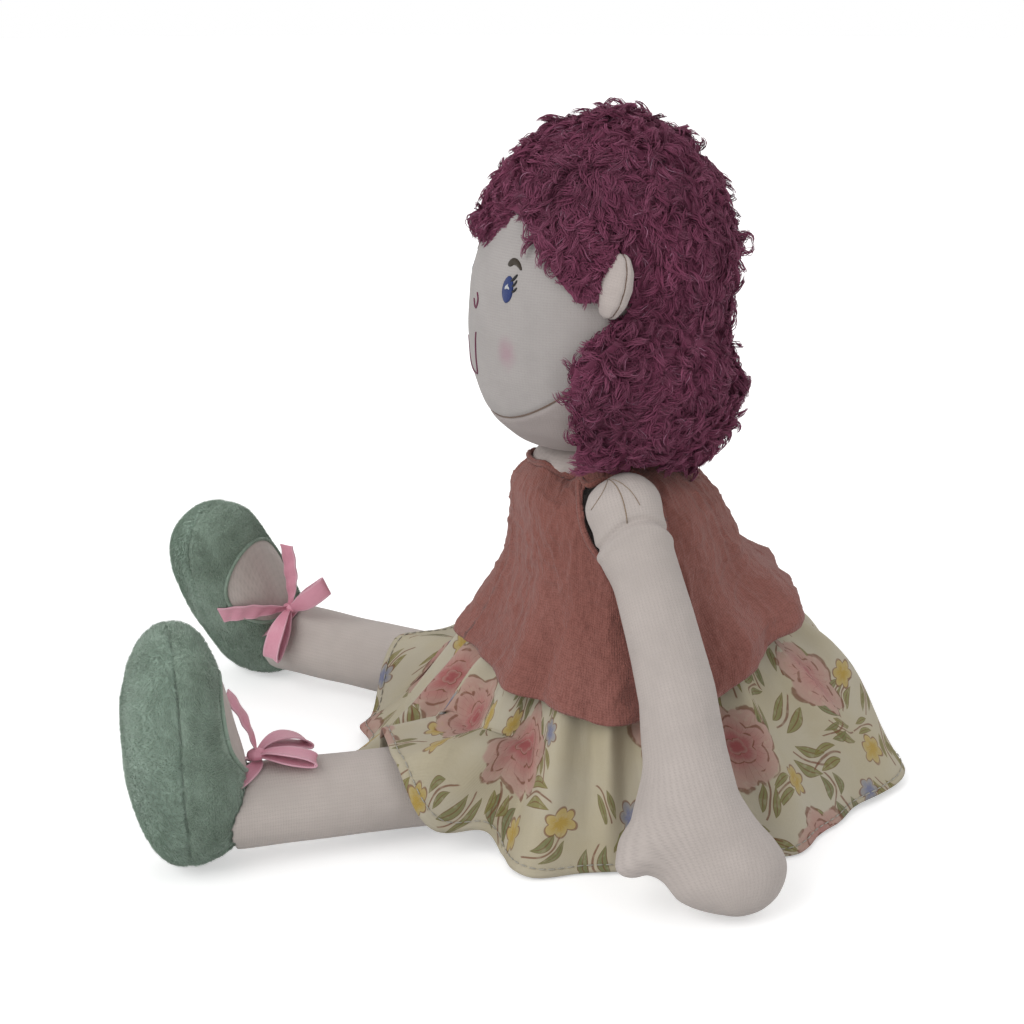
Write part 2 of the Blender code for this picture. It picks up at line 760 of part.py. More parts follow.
def build_hair_bob(carrier):
    """Make the bob, a full roll of plush round the back and sides below the crown."""
    columns = []
    for step in range(BOB_COLUMNS + 1):
        way = step / BOB_COLUMNS
        turn_deg = BOB_FRONT_DEG + (360 - 2 * BOB_FRONT_DEG) * way
        rounding = min(1, min(way, 1 - way) / BOB_FULL_AFTER_SHARE)
        fullness = BOB_END_FULLNESS_SHARE + (1 - BOB_END_FULLNESS_SHARE) * rounding
        columns.append(bob_column(turn_deg if turn_deg <= 180 else turn_deg - 360, fullness))
    bob = loft("hair_bob", columns, "plush_plum")
    carve(bob, head_form("cut_bob", SEAM_GAP))
    for name, sign in (("left", 1), ("right", -1)):
        carve(bob, ear_form("cut_bob_" + name, sign, SEAM_GAP))
    attach(bob, carrier)


def arm_axes(sign):
    """Return an arm's direction at rest, its fore-and-aft direction and its outward direction."""
    out = math.radians(ARM_OUT_DEG)
    back = math.radians(ARM_BACK_DEG)
    down = math.cos(out)
    direction = Vector((sign * math.sin(out), down * math.sin(back), -down * math.cos(back)))
    rear = (Vector((0, 1, 0)) - direction * direction.y).normalized()
    outward = rear.cross(direction) * sign
    return direction, rear, outward


def shoulder_place(sign):
    """Return the middle of a shoulder."""
    return Vector((sign * SHOULDER_X, SHOULDER_Y, SHOULDER_Z))


def half_space(name, point, normal):
    """Return a big block on the side of a plane that its normal points to."""
    side = normal.orthogonal().normalized()
    front = normal.cross(side)
    rings = [
        ring(point + normal * depth, side, front, OVERRUN, OVERRUN, 4)
        for depth in (0, OVERRUN)
    ]
    return loft(name, rings)


def build_shoulder(name, sign, carrier):
    """Make a shoulder, a ball cut flat at the torso's seam and at the crease above the arm."""
    direction = arm_axes(sign)[0]
    middle = shoulder_place(sign)
    axes = (Vector((0, 1, 0)), Vector((0, 0, 1)), Vector((1, 0, 0)))
    halves = (SHOULDER_RADIUS, SHOULDER_RADIUS, SHOULDER_RADIUS)
    ball = ellipsoid(name + "_shoulder", middle, axes, halves, SHOULDER_SIDES, SHOULDER_ROWS, "jersey_pink")
    seam = Vector((sign * SHOULDER_SEAM_X, SHOULDER_Y, SHOULDER_Z))
    carve(ball, half_space("cut_seam_" + name, seam, Vector((-sign, 0, 0))))
    crease = middle + direction * CREASE_FROM_SHOULDER
    carve(ball, half_space("cut_crease_" + name, crease, direction))
    attach(ball, carrier)


def arm_rings(sign):
    """Return the arm's rings from the crease to the fingertips, and its two end points."""
    direction, rear, outward = arm_axes(sign)
    start = CREASE_FROM_SHOULDER + SEAM_GAP
    top = shoulder_place(sign) + direction * start
    length = ARM_LENGTH - start
    rings = []
    for share, wrist, hand in ARM_SHARES:
        bend = -ARM_BEND * eased((share - ARM_BEND_FROM_SHARE) / ARM_BEND_OVER_SHARE)
        first = ARM_TOP_RADIUS if share == 0 else ARM_RADIUS
        radius = first + (WRIST_RADIUS - ARM_RADIUS) * wrist
        wide = radius + (HAND_HALF_WIDTH - WRIST_RADIUS) * hand
        thick = radius + (HAND_HALF_THICK - WRIST_RADIUS) * hand
        middle = top + direction * (length * share) + rear * (HAND_SHIFT * hand + bend)
        rings.append(ring(middle, rear, outward, wide, thick, ARM_SIDES))
    last = ARM_SHARES[-1][0]
    end = top + direction * (length * last) + rear * (HAND_SHIFT - ARM_BEND)
    for step in range(1, ARM_END_STEPS):
        angle = 0.5 * math.pi * step / ARM_END_STEPS
        middle = end + direction * (length * (1 - last) * math.sin(angle))
        wide = HAND_HALF_WIDTH * math.cos(angle)
        thick = HAND_HALF_THICK * math.cos(angle)
        rings.append(ring(middle, rear, outward, wide, thick, ARM_SIDES))
    return rings, end + direction * (length * (1 - last))


def build_arm(name, sign, carrier):
    """Make an arm that widens into a mitten hand with a short thumb."""
    direction, rear, outward = arm_axes(sign)
    rings, tip = arm_rings(sign)
    arm = loft(name + "_arm", rings, "jersey_pink", (None, tip))
    slant = (direction - rear * THUMB_SLANT_SHARE).normalized()
    across = outward.cross(slant)
    middle = shoulder_place(sign) + direction * THUMB_FROM_SHOULDER - rear * THUMB_OUT
    halves = (THUMB_RADIUS, THUMB_RADIUS, THUMB_HALF_LENGTH)
    thumb = ellipsoid("add_thumb_" + name, middle, (outward, across, slant), halves, THUMB_SIDES, THUMB_ROWS)
    carve(arm, thumb, "UNION")
    attach(arm, carrier)


def ankle_place(sign):
    """Return the middle of an ankle."""
    return hip_place(sign) + leg_axes(sign)[2] * LEG_LENGTH + Vector((0, 0, LEG_RISE))


def ankle_frame(sign):
    """Return the heel's middle under the ankle and the shoe's directions: ahead, outward and up."""
    turn_out = math.radians(LEFT_FOOT_TURN_DEG if sign > 0 else RIGHT_FOOT_TURN_DEG)
    ahead = Matrix.Rotation(turn_out * sign, 3, "Z") @ leg_axes(sign)[2]
    roll = math.radians(LEFT_ROLL_DEG if sign > 0 else RIGHT_ROLL_DEG)
    lean = Matrix.Rotation(roll * sign, 3, ahead)
    outward = lean @ Vector((sign * -ahead.y, sign * ahead.x, 0))
    up = lean @ Vector((0, 0, 1))
    return ankle_place(sign) - up * ANKLE_HEIGHT, ahead, outward, up


def build_leg(name, sign, carrier):
    """Make a leg, a long stuffed tube with a rounded top, cut by the shoe at its end."""
    direction, axis = leg_axes(sign)[:2]
    hip = hip_place(sign)
    up = direction.cross(axis)
    length = LEG_LENGTH + LEG_INTO_SHOE
    rings = []
    for step in range(1, ARM_END_STEPS):
        angle = 0.5 * math.pi * step / ARM_END_STEPS
        radius = LEG_HIP_RADIUS * math.sin(angle)
        middle = hip - direction * (LEG_HIP_RADIUS * math.cos(angle))
        rings.append(ring(middle, axis, up, radius, radius, LEG_SIDES))
    for share, swell in LEG_SHARES:
        radius = LEG_HIP_RADIUS + (LEG_RADIUS - LEG_HIP_RADIUS) * min(1, swell)
        radius += (LEG_ANKLE_RADIUS - LEG_RADIUS) * max(0, swell - 1)
        rings.append(ring(hip + direction * (length * share), axis, up, radius, radius, LEG_SIDES))
    leg = loft(name + "_leg", rings, "jersey_pink", (hip - direction * LEG_HIP_RADIUS, None))
    carve(leg, shoe_form("cut_leg_" + name, sign, SEAM_GAP))
    attach(leg, carrier)


def shoe_ring(sign, row, grow):
    """Return one level ring of the shoe, deeper before the seam than its upper is behind it."""
    foot, ahead, outward, up = ankle_frame(sign)
    share, wide, sole, upper = row
    middle = foot + up * (SHOE_HEIGHT * share + SHOE_FLOOR_CLEARANCE) + ahead * SHOE_SEAM_AHEAD
    half_width = 0.5 * SHOE_WIDTH * wide + grow
    points = []
    for step in range(SHOE_SIDES):
        across, along = rounded(2 * math.pi * step / SHOE_SIDES, SHOE_POWER)
        reach = SHOE_SOLE_THICK * sole if along > 0 else SHOE_UPPER_THICK * upper
        points.append(middle + outward * (half_width * across) + ahead * ((reach + grow) * along))
    return points


def shoe_form(name, sign, grow, material=None):
    """Make the whole stuffed foot's form, grown outward."""
    foot, ahead, outward, up = ankle_frame(sign)
    rings = [shoe_ring(sign, row, grow) for row in SHOE_SHARES]
    base = foot + ahead * SHOE_SEAM_AHEAD + up * SHOE_FLOOR_CLEARANCE
    return loft(name, rings, material, (base - up * grow, base + up * (SHOE_HEIGHT + grow)))


def instep_cutter(name, sign, grow):
    """Return the oval plug of the opening over the instep."""
    foot, ahead, outward, up = ankle_frame(sign)
    middle = foot + up * (SHOE_HEIGHT * INSTEP_MIDDLE_SHARE)
    upper = SHOE_UPPER_THICK * read_shares(SHOE_SHARES, INSTEP_MIDDLE_SHARE, 3)
    floor = SHOE_SEAM_AHEAD - upper + INSTEP_DEPTH
    rings = []
    for reach in (floor + grow, -OVERRUN):
        rings.append(
            ring(
                middle + ahead * reach,
                outward,
                up,
                INSTEP_HALF_WIDTH + grow,
                INSTEP_HALF_HEIGHT + grow,
                INSTEP_SIDES,
            )
        )
    return loft(name, rings)


def build_shoe(name, sign, carrier):
    """Make the sole pillow, the upper with its opening, and the jersey foot that shows in it."""
    foot, ahead, outward, up = ankle_frame(sign)
    seam = foot + ahead * SHOE_SEAM_AHEAD
    sole = shoe_form(name + "_shoe_sole", sign, 0, "velour_sage")
    carve(sole, half_space("cut_sole_" + name, seam + ahead * (SEAM_GAP / 2), -ahead))
    upper = shoe_form(name + "_shoe_upper", sign, 0, "velour_sage")
    carve(upper, half_space("cut_upper_" + name, seam - ahead * (SEAM_GAP / 2), ahead))
    carve(upper, instep_cutter("cut_opening_" + name, sign, 0))
    instep = shoe_form(name + "_instep", sign, -SEAM_GAP, "jersey_pink")
    carve(instep, instep_cutter("keep_instep_" + name, sign, -SEAM_GAP), "INTERSECT")
    for piece in (sole, upper, instep):
        attach(piece, carrier)


def band(name, path, across, width, thick, material):
    """Make a flat ribbon along a path; `across` gives the ribbon's width direction at each point."""
    rings = []
    for step in range(len(path)):
        before = path[max(0, step - 1)]
        after = path[min(len(path) - 1, step + 1)]
        run = (after - before).normalized()
        wide = (across[step] - run * run.dot(across[step])).normalized()
        normal = run.cross(wide)
        beside = wide * (width[step] / 2)
        above = normal * (thick / 2)
        corners = (-beside - above, beside - above, beside + above, above - beside)
        rings.append([path[step] + corner for corner in corners])
    return loft(name, rings, material)


def strap_radius():
    """Return how far the strap's middle lies from the ankle's middle."""
    return LEG_ANKLE_RADIUS + STRAP_CLEARANCE + RIBBON_THICK / 2


def knot_place(sign):
    """Return the middle of the bow's knot, on top of the ankle."""
    up = ankle_frame(sign)[3]
    return ankle_place(sign) + up * (strap_radius() + RIBBON_THICK / 2 + SEAM_GAP + KNOT_RADIUS)


def in_foot(sign, shares):
    """Turn shares along the foot's directions into a vector."""
    foot, ahead, outward, up = ankle_frame(sign)
    return ahead * shares[0] + outward * shares[1] + up * shares[2]


def build_strap(name, sign, carrier):
    """Make the ribbon that comes out of both sides of the shoe's opening and goes round the ankle."""
    foot, ahead, outward, up = ankle_frame(sign)
    level = leg_axes(sign)[2]
    path = []
    widths = []
    for step in range(STRAP_STEPS + 1):
        way = 2 * step / STRAP_STEPS - 1
        turn = math.radians(STRAP_HALF_TURN_DEG) * way
        radial = outward * math.sin(turn) + up * math.cos(turn)
        path.append(ankle_place(sign) + radial * strap_radius() + level * (STRAP_REACH * way * way))
        widths.append(RIBBON_WIDTH * (STRAP_PINCH_SHARE + (1 - STRAP_PINCH_SHARE) * abs(way)))
    strap = band(name + "_ribbon_strap", path, [level] * len(path), widths, RIBBON_THICK, "satin_pink")
    carve(strap, shoe_form("cut_strap_" + name, sign, SEAM_GAP))
    attach(strap, carrier)


def build_bow(name, sign, carrier):
    """Make the knot, two loops and two tails of the bow."""
    outward, up = ankle_frame(sign)[2:]
    halves = (KNOT_RADIUS, KNOT_RADIUS, KNOT_HALF_LENGTH)
    axes = (up, outward, up.cross(outward))
    knot = ellipsoid(name + "_bow_knot", knot_place(sign), axes, halves, KNOT_SIDES, KNOT_ROWS, "satin_pink")
    pieces = [knot]
    for number, shares in enumerate(LEFT_LOOP_SHARES if sign > 0 else RIGHT_LOOP_SHARES, 1):
        pieces.append(build_loop(f"{name}_bow_loop_{number}", sign, shares))
    for number, shares in enumerate(LEFT_TAIL_SHARES if sign > 0 else RIGHT_TAIL_SHARES, 1):
        pieces.append(build_tail(f"{name}_bow_tail_{number}", sign, shares))
    for piece in pieces:
        attach(piece, carrier)


def knot_reach(shares):
    """Return how far the knot's surface lies from its middle in a direction along the foot's axes."""
    ahead, outward, up = Vector(shares).normalized()
    return 1 / math.hypot(ahead / KNOT_HALF_LENGTH, outward / KNOT_RADIUS, up / KNOT_RADIUS)


def ribbon_line(sign, shares, way):
    """Return a point on the smooth line from the knot's surface past the bend to the tip."""
    bend = in_foot(sign, shares[0]) * BOW_REACH
    tip = in_foot(sign, shares[1]) * BOW_REACH
    start = bend.normalized() * (knot_reach(shares[0]) + KNOT_CLEARANCE)
    away = 1 - way
    return knot_place(sign) + start * (away * away) + bend * (2 * away * way) + tip * (way * way)


def ribbon_width(way):
    """Return a bow ribbon's width, pinched where it leaves the knot."""
    full = min(1, way / RIBBON_FULL_AFTER_SHARE)
    return RIBBON_WIDTH * (LOOP_PINCH_SHARE + (1 - LOOP_PINCH_SHARE) * full)


def build_loop(name, sign, shares):
    """Make one teardrop loop of ribbon, whose two ends start side by side at the knot."""
    wide = in_foot(sign, shares[2])
    lift = wide.cross(in_foot(sign, shares[1])).normalized()
    if lift.dot(ankle_frame(sign)[3]) < 0:
        lift = -lift
    path = []
    widths = []
    for step in range(LOOP_STEPS + 1):
        angle = 2 * math.pi * step / LOOP_STEPS
        way = 0.5 - 0.5 * math.cos(angle)
        open_by = LOOP_OPEN * (0.5 + 0.5 * math.sin(angle)) * math.sqrt(way)
        open_by += LOOP_ENDS_APART * 0.5 * math.cos(0.5 * angle)
        path.append(ribbon_line(sign, shares, way) + lift * open_by)
        widths.append(ribbon_width(way))
    return band(name, path, [wide] * len(path), widths, RIBBON_THICK, "satin_pink")


def build_tail(name, sign, shares):
    """Make one loose end of ribbon, a little curved."""
    wide = in_foot(sign, shares[2])
    path = []
    widths = []
    for step in range(TAIL_STEPS + 1):
        way = step / TAIL_STEPS
        path.append(ribbon_line(sign, shares, way))
        widths.append(ribbon_width(way))
    return band(name, path, [wide] * len(path), widths, RIBBON_THICK, "satin_pink")


def folded(waves, turn):
    """Return the height of cloth folds at a turn, as the sum of waves of count, start and height share."""
    return sum(height * math.cos(count * turn + start) for count, start, height in waves)


def top_point(turn, share, grow=0.0):
    """Return a point of the gauze top: turn from the front to the left, share of the way to the hem."""
    forward = math.cos(turn)
    side = abs(math.sin(turn))
    fall = TOP_FALL_FRONT if forward > 0 else TOP_FALL_BACK
    fall += (TOP_FALL_SIDE - fall) * side * side
    dip = TOP_NECK_DIP * max(0, forward) ** 4
    reach = TOP_FRONT_REACH if forward > 0 else TOP_BACK_REACH
    column = 2 if forward > 0 else 3
    rest = max(0, 1 - share / TOP_NECK_SHARE)
    folds = TOP_FOLD * share * share * folded(TOP_FOLD_SHARES, turn)
    half_width = TOP_HALF_WIDTH * read_shares(TOP_SHARES, share, 1) + folds + grow
    depth = reach * read_shares(TOP_SHARES, share, column) + folds + grow + dip * rest
    across, along = rounded(turn, TOP_ROUND_POWER)
    height = TOP_NECK_Z - dip * rest - fall * share
    return Vector((half_width * along, TOP_MIDDLE_Y - depth * across, height))


def top_shell(name, thick, grow, material=None):
    """Make the gauze top as a closed cloth shell of a given thickness."""
    outer = []
    inner = []
    for row in TOP_SHARES:
        turns = [2 * math.pi * step / TOP_COLUMNS for step in range(TOP_COLUMNS)]
        outer.append([top_point(turn, row[0], grow) for turn in turns])
        inner.append([top_point(turn, row[0], grow - thick) for turn in turns])
    return shell(name, outer, inner, material)


def armhole_cutter(name, sign, shrink):
    """Return the oval armhole, smaller all round by `shrink`."""
    rings = []
    for reach in (ARMHOLE_START_X + shrink, ARMHOLE_START_X + OVERRUN):
        rings.append(
            ring(
                Vector((sign * reach, SHOULDER_Y, ARMHOLE_MIDDLE_Z)),
                Vector((0, 1, 0)),
                Vector((0, 0, 1)),
                ARMHOLE_HALF_DEPTH - shrink,
                ARMHOLE_HALF_HEIGHT - shrink,
                ARMHOLE_SIDES,
            )
        )
    return loft(name, rings)


def build_top():
    """Make the sleeveless top, its armhole bindings and its neck binding."""
    top = top_shell("gauze_top", TOP_CLOTH, 0, "gauze_rose")
    for name, sign in (("left", 1), ("right", -1)):
        carve(top, armhole_cutter("cut_armhole_" + name, sign, 0))
        proud = (BINDING_THICK - TOP_CLOTH) / 2
        binding = top_shell(name + "_armhole_binding", BINDING_THICK, proud, "gauze_rose")
        carve(binding, armhole_cutter("keep_binding_" + name, sign, SEAM_GAP), "INTERSECT")
        carve(binding, armhole_cutter("cut_binding_" + name, sign, SEAM_GAP + BINDING_WIDTH))
    build_neck_binding()


def build_neck_binding():
    """Make the round binding that stands on the neckline."""
    lift = Vector((0, 0, BINDING_WIDTH / 2 + SEAM_GAP))
    turns = [2 * math.pi * step / TOP_COLUMNS for step in range(TOP_COLUMNS)]
    path = [top_point(turn, 0, -TOP_CLOTH / 2) + lift for turn in turns]
    mesh = bmesh.new()
    rows = []
    for step, point in enumerate(path):
        run = (path[(step + 1) % TOP_COLUMNS] - path[step - 1]).normalized()
        up = Vector((0, 0, 1))
        out = run.cross(up).normalized()
        spots = ring(point, out, up, BINDING_THICK / 2, BINDING_WIDTH / 2, BINDING_SIDES)
        rows.append([mesh.verts.new(spot) for spot in spots])
    grid_faces(mesh, rows + [rows[0]], True)
    finish_mesh(mesh, "neck_binding", "gauze_rose")


def leg_tent(x, y, sign):
    """Return the height of cloth that lies over a leg at a place on the floor plan."""
    direction, _, level = leg_axes(sign)
    hip = hip_place(sign)
    along = (x - hip.x) * level.x + (y - hip.y) * level.y
    beside = abs((x - hip.x) * level.y - (y - hip.y) * level.x)
    if along < 0:
        beside = math.hypot(along, beside)
        along = 0
    reach = LEG_RADIUS + LAP_CLEARANCE
    top = hip.z + direction.z * along + reach
    crest = LAP_CREST_SHARE * reach
    return top * (1 - eased((beside - crest) / (reach - crest + LAP_SIDE)))


def skirt_point(turn, share):
    """Return a point of the skirt's outer face at a turn to the left from the front and a share of the fall."""
    turn_deg = math.degrees(turn)
    turn_deg -= 360 if turn_deg > 180 else 0
    low = SKIRT_LENGTH * read_shares(HEM_SHARES, turn_deg, 2, True) + HEM_CLEAR
    height = WAIST_Z + (low - WAIST_Z) * share
    waist = torso_ring(height / TORSO_HEIGHT, WAISTBAND_THICK + SKIRT_CLOTH, 4)
    half_width = waist[0].x
    back = waist[1].y
    front = -waist[3].y
    hem = SKIRT_LENGTH * read_shares(HEM_SHARES, turn_deg, 1, True)
    across, along = rounded(turn, TORSO_POWER)
    start = Vector((half_width * along, -(front if across > 0 else back) * across, 0))
    end = Vector((hem * math.sin(turn), -hem * math.cos(turn), 0))
    beside = math.sin(turn) ** 2
    flare = SKIRT_FLARE_FRONT if across > 0 else SKIRT_FLARE_BACK
    flare += (SKIRT_FLARE_SIDE - flare) * beside
    fold = SKIRT_FOLD * folded(SKIRT_FOLD_SHARES, turn) * share**3
    place = start.lerp(end, share**flare) + Vector((math.sin(turn), -math.cos(turn), 0)) * fold
    ending = eased((share - LAP_SPAN_ENDS_SHARE) / (1 - LAP_SPAN_ENDS_SHARE))
    lap = LAP_SPAN * max(0, across) * (1 - ending)
    place.z = max(height, lap, leg_tent(place.x, place.y, 1), leg_tent(place.x, place.y, -1))
    return place


def build_skirt():
    """Make the gathered skirt, which drapes over both legs and spreads on the floor, and its waistband."""
    turns = [2 * math.pi * step / SKIRT_COLUMNS for step in range(SKIRT_COLUMNS)]
    outer = [[skirt_point(turn, row / SKIRT_ROWS) for turn in turns] for row in range(SKIRT_ROWS + 1)]
    inner = []
    for row in range(SKIRT_ROWS + 1):
        points = []
        for step in range(SKIRT_COLUMNS):
            above = outer[max(0, row - 1)][step]
            below = outer[min(SKIRT_ROWS, row + 1)][step]
            run = outer[row][(step + 1) % SKIRT_COLUMNS] - outer[row][step - 1]
            normal = run.cross(below - above).normalized()
            spot = outer[row][step] + normal * SKIRT_CLOTH
            spot.z = max(spot.z, HEM_CLEAR)
            points.append(spot)
        inner.append(points)
    shell("skirt", outer, inner, "cotton_cream")
    low = (WAIST_Z + SEAM_GAP) / TORSO_HEIGHT
    high = low + WAISTBAND_HEIGHT / TORSO_HEIGHT
    levels = (low, (low + high) / 2, high)
    count = SKIRT_COLUMNS // 2
    outside = [torso_ring(level, SEAM_GAP + WAISTBAND_THICK, count) for level in levels]
    inside = [torso_ring(level, SEAM_GAP, count) for level in levels]
    shell("skirt_waistband", outside, inside, "cotton_cream")


def build_doll():
    """Build every piece and hang it on its joint."""
    clear_scene()
    build_torso()
    build_top()
    build_skirt()
    neck_joint = hinge_empty("neck_turn_axis", (0, NECK_MIDDLE_Y, TORSO_HEIGHT))
    build_neck(neck_joint)
    head_joint = hinge_empty("head_nod_axis", (0, NECK_MIDDLE_Y, TORSO_HEIGHT + HEAD_LIFT), neck_joint)
    build_head(head_joint)
    build_ears(head_joint)
    build_hair_crown(head_joint)
    build_hair_bob(head_joint)
    for name, sign in (("left", 1), ("right", -1)):
        shoulder_joint = hinge_empty(name + "_shoulder_axis", shoulder_place(sign))
        build_shoulder(name, sign, shoulder_joint)
        crease = shoulder_place(sign) + arm_axes(sign)[0] * CREASE_FROM_SHOULDER
        build_arm(name, sign, hinge_empty(name + "_arm_axis", crease, shoulder_joint))
        hip_joint = hinge_empty(name + "_hip_axis", hip_place(sign))
        build_leg(name, sign, hip_joint)
        build_shoe(name, sign, hip_joint)
        build_strap(name, sign, hip_joint)
        build_bow(name, sign, hip_joint)


build_doll()
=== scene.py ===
"""Looks of the seated rag doll, built around its CAD part. Lengths are in metres; it faces -Y."""

import math

import bmesh
import bpy
import numpy as np
from mathutils import Matrix, Vector, noise
from mathutils.bvhtree import BVHTree


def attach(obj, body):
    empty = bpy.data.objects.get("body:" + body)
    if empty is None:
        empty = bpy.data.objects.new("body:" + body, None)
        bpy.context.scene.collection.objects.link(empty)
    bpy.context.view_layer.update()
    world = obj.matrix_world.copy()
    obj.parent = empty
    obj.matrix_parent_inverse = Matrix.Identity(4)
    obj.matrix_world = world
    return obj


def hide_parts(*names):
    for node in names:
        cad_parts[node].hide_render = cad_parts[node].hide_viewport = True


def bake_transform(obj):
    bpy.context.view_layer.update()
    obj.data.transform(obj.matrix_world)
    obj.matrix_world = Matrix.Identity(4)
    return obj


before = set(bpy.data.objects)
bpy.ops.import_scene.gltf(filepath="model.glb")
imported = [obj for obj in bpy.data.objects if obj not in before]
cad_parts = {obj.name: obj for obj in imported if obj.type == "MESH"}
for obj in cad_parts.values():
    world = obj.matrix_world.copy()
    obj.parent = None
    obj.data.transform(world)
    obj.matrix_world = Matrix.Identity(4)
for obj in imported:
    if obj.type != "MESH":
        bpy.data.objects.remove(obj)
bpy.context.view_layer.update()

scene = bpy.context.scene
SIDES = (("left", 1), ("right", -1))

# The seed of the noise that turns locks and nap, so that each run gives the same hair
noise.seed_set(21)

# The camera that the photograph was fitted with
CAMERA_PLACE = (0.548, -0.137, 0.285)
CAMERA_YAW = 0.185
CAMERA_PITCH = 0.317
CAMERA_LENS = 1697 / 1024 * 36

# Sizes that the CAD source also has
SEAM_GAP = 0.0003
TORSO_HEIGHT = 0.119
TORSO_WIDTH = 0.086
TORSO_DEPTH = 0.071
TORSO_POWER = 2.3
TORSO_SHARES = (
    (0.0, 0.38, 0.37, 0.13), (0.03, 0.45, 0.44, 0.11), (0.10, 0.49, 0.485, 0.07), (0.22, 0.50, 0.50, 0.05),
    (0.38, 0.47, 0.48, 0.035), (0.55, 0.435, 0.45, 0.03), (0.70, 0.395, 0.43, 0.025), (
        0.80, 0.35, 0.405, 0.01
    ),
    (0.88, 0.315, 0.36, -0.01), (0.94, 0.27, 0.31, -0.035), (0.98, 0.22, 0.255, -0.055), (
        1.0, 0.185, 0.215, -0.06
    ),
)
NECK_Y = -0.005
HEAD_HALVES = (0.040, 0.0418, 0.0535)
HEAD_MIDDLE = Vector((0, -0.0068, 0.1785))
HEAD_TURN = math.radians(7.0)
HAIRLINE_SHARES = (
    (-180, -0.27), (-120, -0.20), (-92, -0.10), (-76, 0.06), (-58, 0.16), (-36, 0.25), (-14, 0.38), (
        6, 0.49
    ),
    (20, 0.53), (34, 0.42), (52, 0.20), (66, 0.02), (78, -0.02), (92, -0.10), (120, -0.20), (180, -0.27),
)
CHIN_RISE = 0.008
CHIN_SLOPE = 0.90
SHOULDER = Vector((0.037, -0.004, 0.113))
ARM_OUT = math.radians(33.4)
ARM_BACK = math.radians(10.0)
HIP = Vector((0.027, -0.008, 0.0166))
LEG_LENGTH = 0.1193
LEG_RISE = 0.0024
LEG_RADIUS = 0.0140
ANKLE_RADIUS = 0.0142
SPLAY = {1: math.radians(5.8), -1: math.radians(38.0)}
FOOT_TURN = {1: 0.0, -1: math.radians(8.0)}
FOOT_ROLL = {1: 0.0, -1: math.radians(26.0)}
ANKLE_HEIGHT = 0.0190
SHOE_HEIGHT = 0.0845
SHOE_SEAM_AHEAD = 0.0255
INSTEP_HALVES = (0.0146, 0.0172)
INSTEP_MIDDLE_SHARE = 0.59
RIBBON_WIDTH = 0.0075
RIBBON_THICK = 0.0005
KNOT_RADIUS = 0.0024
BOW_REACH = 0.0200
WAIST_Z = 0.082
SKIRT_LENGTH = 0.090
HEM_SHARES = (
    (-180, 1.17, 0.045), (-152, 1.06, 0.02), (-120, 0.96, 0.0), (-90, 0.94, 0.0), (-66, 0.94, 0.0),
    (-51, 0.93, 0.02), (-36, 1.03, 0.02), (-18, 1.04, 0.05), (-4, 1.01, 0.05), (10, 0.98, 0.05),
    (26, 1.02, 0.03), (48, 0.88, 0.0), (76, 0.85, 0.0), (104, 0.90, 0.0), (130, 0.94, 0.0),
    (156, 1.09, 0.02), (172, 1.19, 0.05), (180, 1.17, 0.045),
)
TOP_NECK_Z = 0.1216
TOP_MIDDLE_Y = -0.002
TOP_SHARES = (
    (0.0, 0.364, 0.44, 0.245), (0.06, 0.487, 0.545, 0.35), (0.13, 0.591, 0.62, 0.46), (
        0.24, 0.652, 0.655, 0.56
    ),
    (0.38, 0.676, 0.67, 0.61), (0.53, 0.714, 0.68, 0.68), (0.69, 0.80, 0.76, 0.81), (
        0.85, 0.91, 0.88, 0.93
    ),
    (1.0, 1.0, 1.0, 1.0),
)
ARMHOLE_HALVES = (0.0134, 0.0165)
ARMHOLE_TILT = 0.14
ARMHOLE_MIDDLE = Vector((0.0252, -0.0035, 0.1080))

TURN = 2 * math.pi
SAME_PLACE = 1e-6

# Pitches of knit, weave and thread
LOOP_PITCH = 0.00085
WARP_PITCH = 0.00095
WEFT_PITCH = 0.00085
COTTON_PITCH = 0.00055
RIB_PITCH = 0.0006
STRAND_PITCH = 0.00042

# How densely hair and nap grow, per square metre, and what a lock is made of
LOCK_DENSITY = 360000
NAP_DENSITY = 5200000
LOCK_STEPS = 7
FIBRES_IN_LOCK = 11

# The hair's front edge above the forehead: degrees to the left of the front, height about the head's middle
HAIR_EDGE = (
    (0, -0.0100), (3, 0.0120), (7.8, 0.0165), (12.8, 0.0218), (16.3, 0.0262), (19.6, 0.0300), (35, 0.0232),
    (46, 0.0150), (52, 0.0095), (57.5, 0.0050), (62, 0.0042), (78, 0.0038),
)
FRINGE_TURNS = (-64, -36, -17, 3, 7.5, 12.8, 16.3, 20)
FRINGE_HEIGHTS = (0.0100, 0.0150, 0.0180, 0.0190, 0.0215, 0.0260, 0.0300, 0.0335)
FRINGE_LAYERS = (0.0030, 0.0048, 0.0068, 0.0090, 0.0112, 0.0135)
BOB_LEVELS = (-0.0230, -0.0163, -0.0113, -0.0081, -0.0049, -0.0002)
BOB_FRONTS = (66, 67, 69, 71, 75, 78)

# The print: its line colour, and each bloom's rings as petals, size, depth, ink and spin
PRINT_LINE = (0.150, 0.050, 0.026)
BLOOM_RINGS = (
    (7.0, 0.0175, 0.20, (0.400, 0.225, 0.190), 0.0),
    (6.0, 0.0122, 0.22, (0.375, 0.165, 0.150), 0.5),
    (5.0, 0.0074, 0.26, (0.340, 0.110, 0.110), 0.2),
    (4.0, 0.0034, 0.30, (0.300, 0.075, 0.080), 0.9),
)

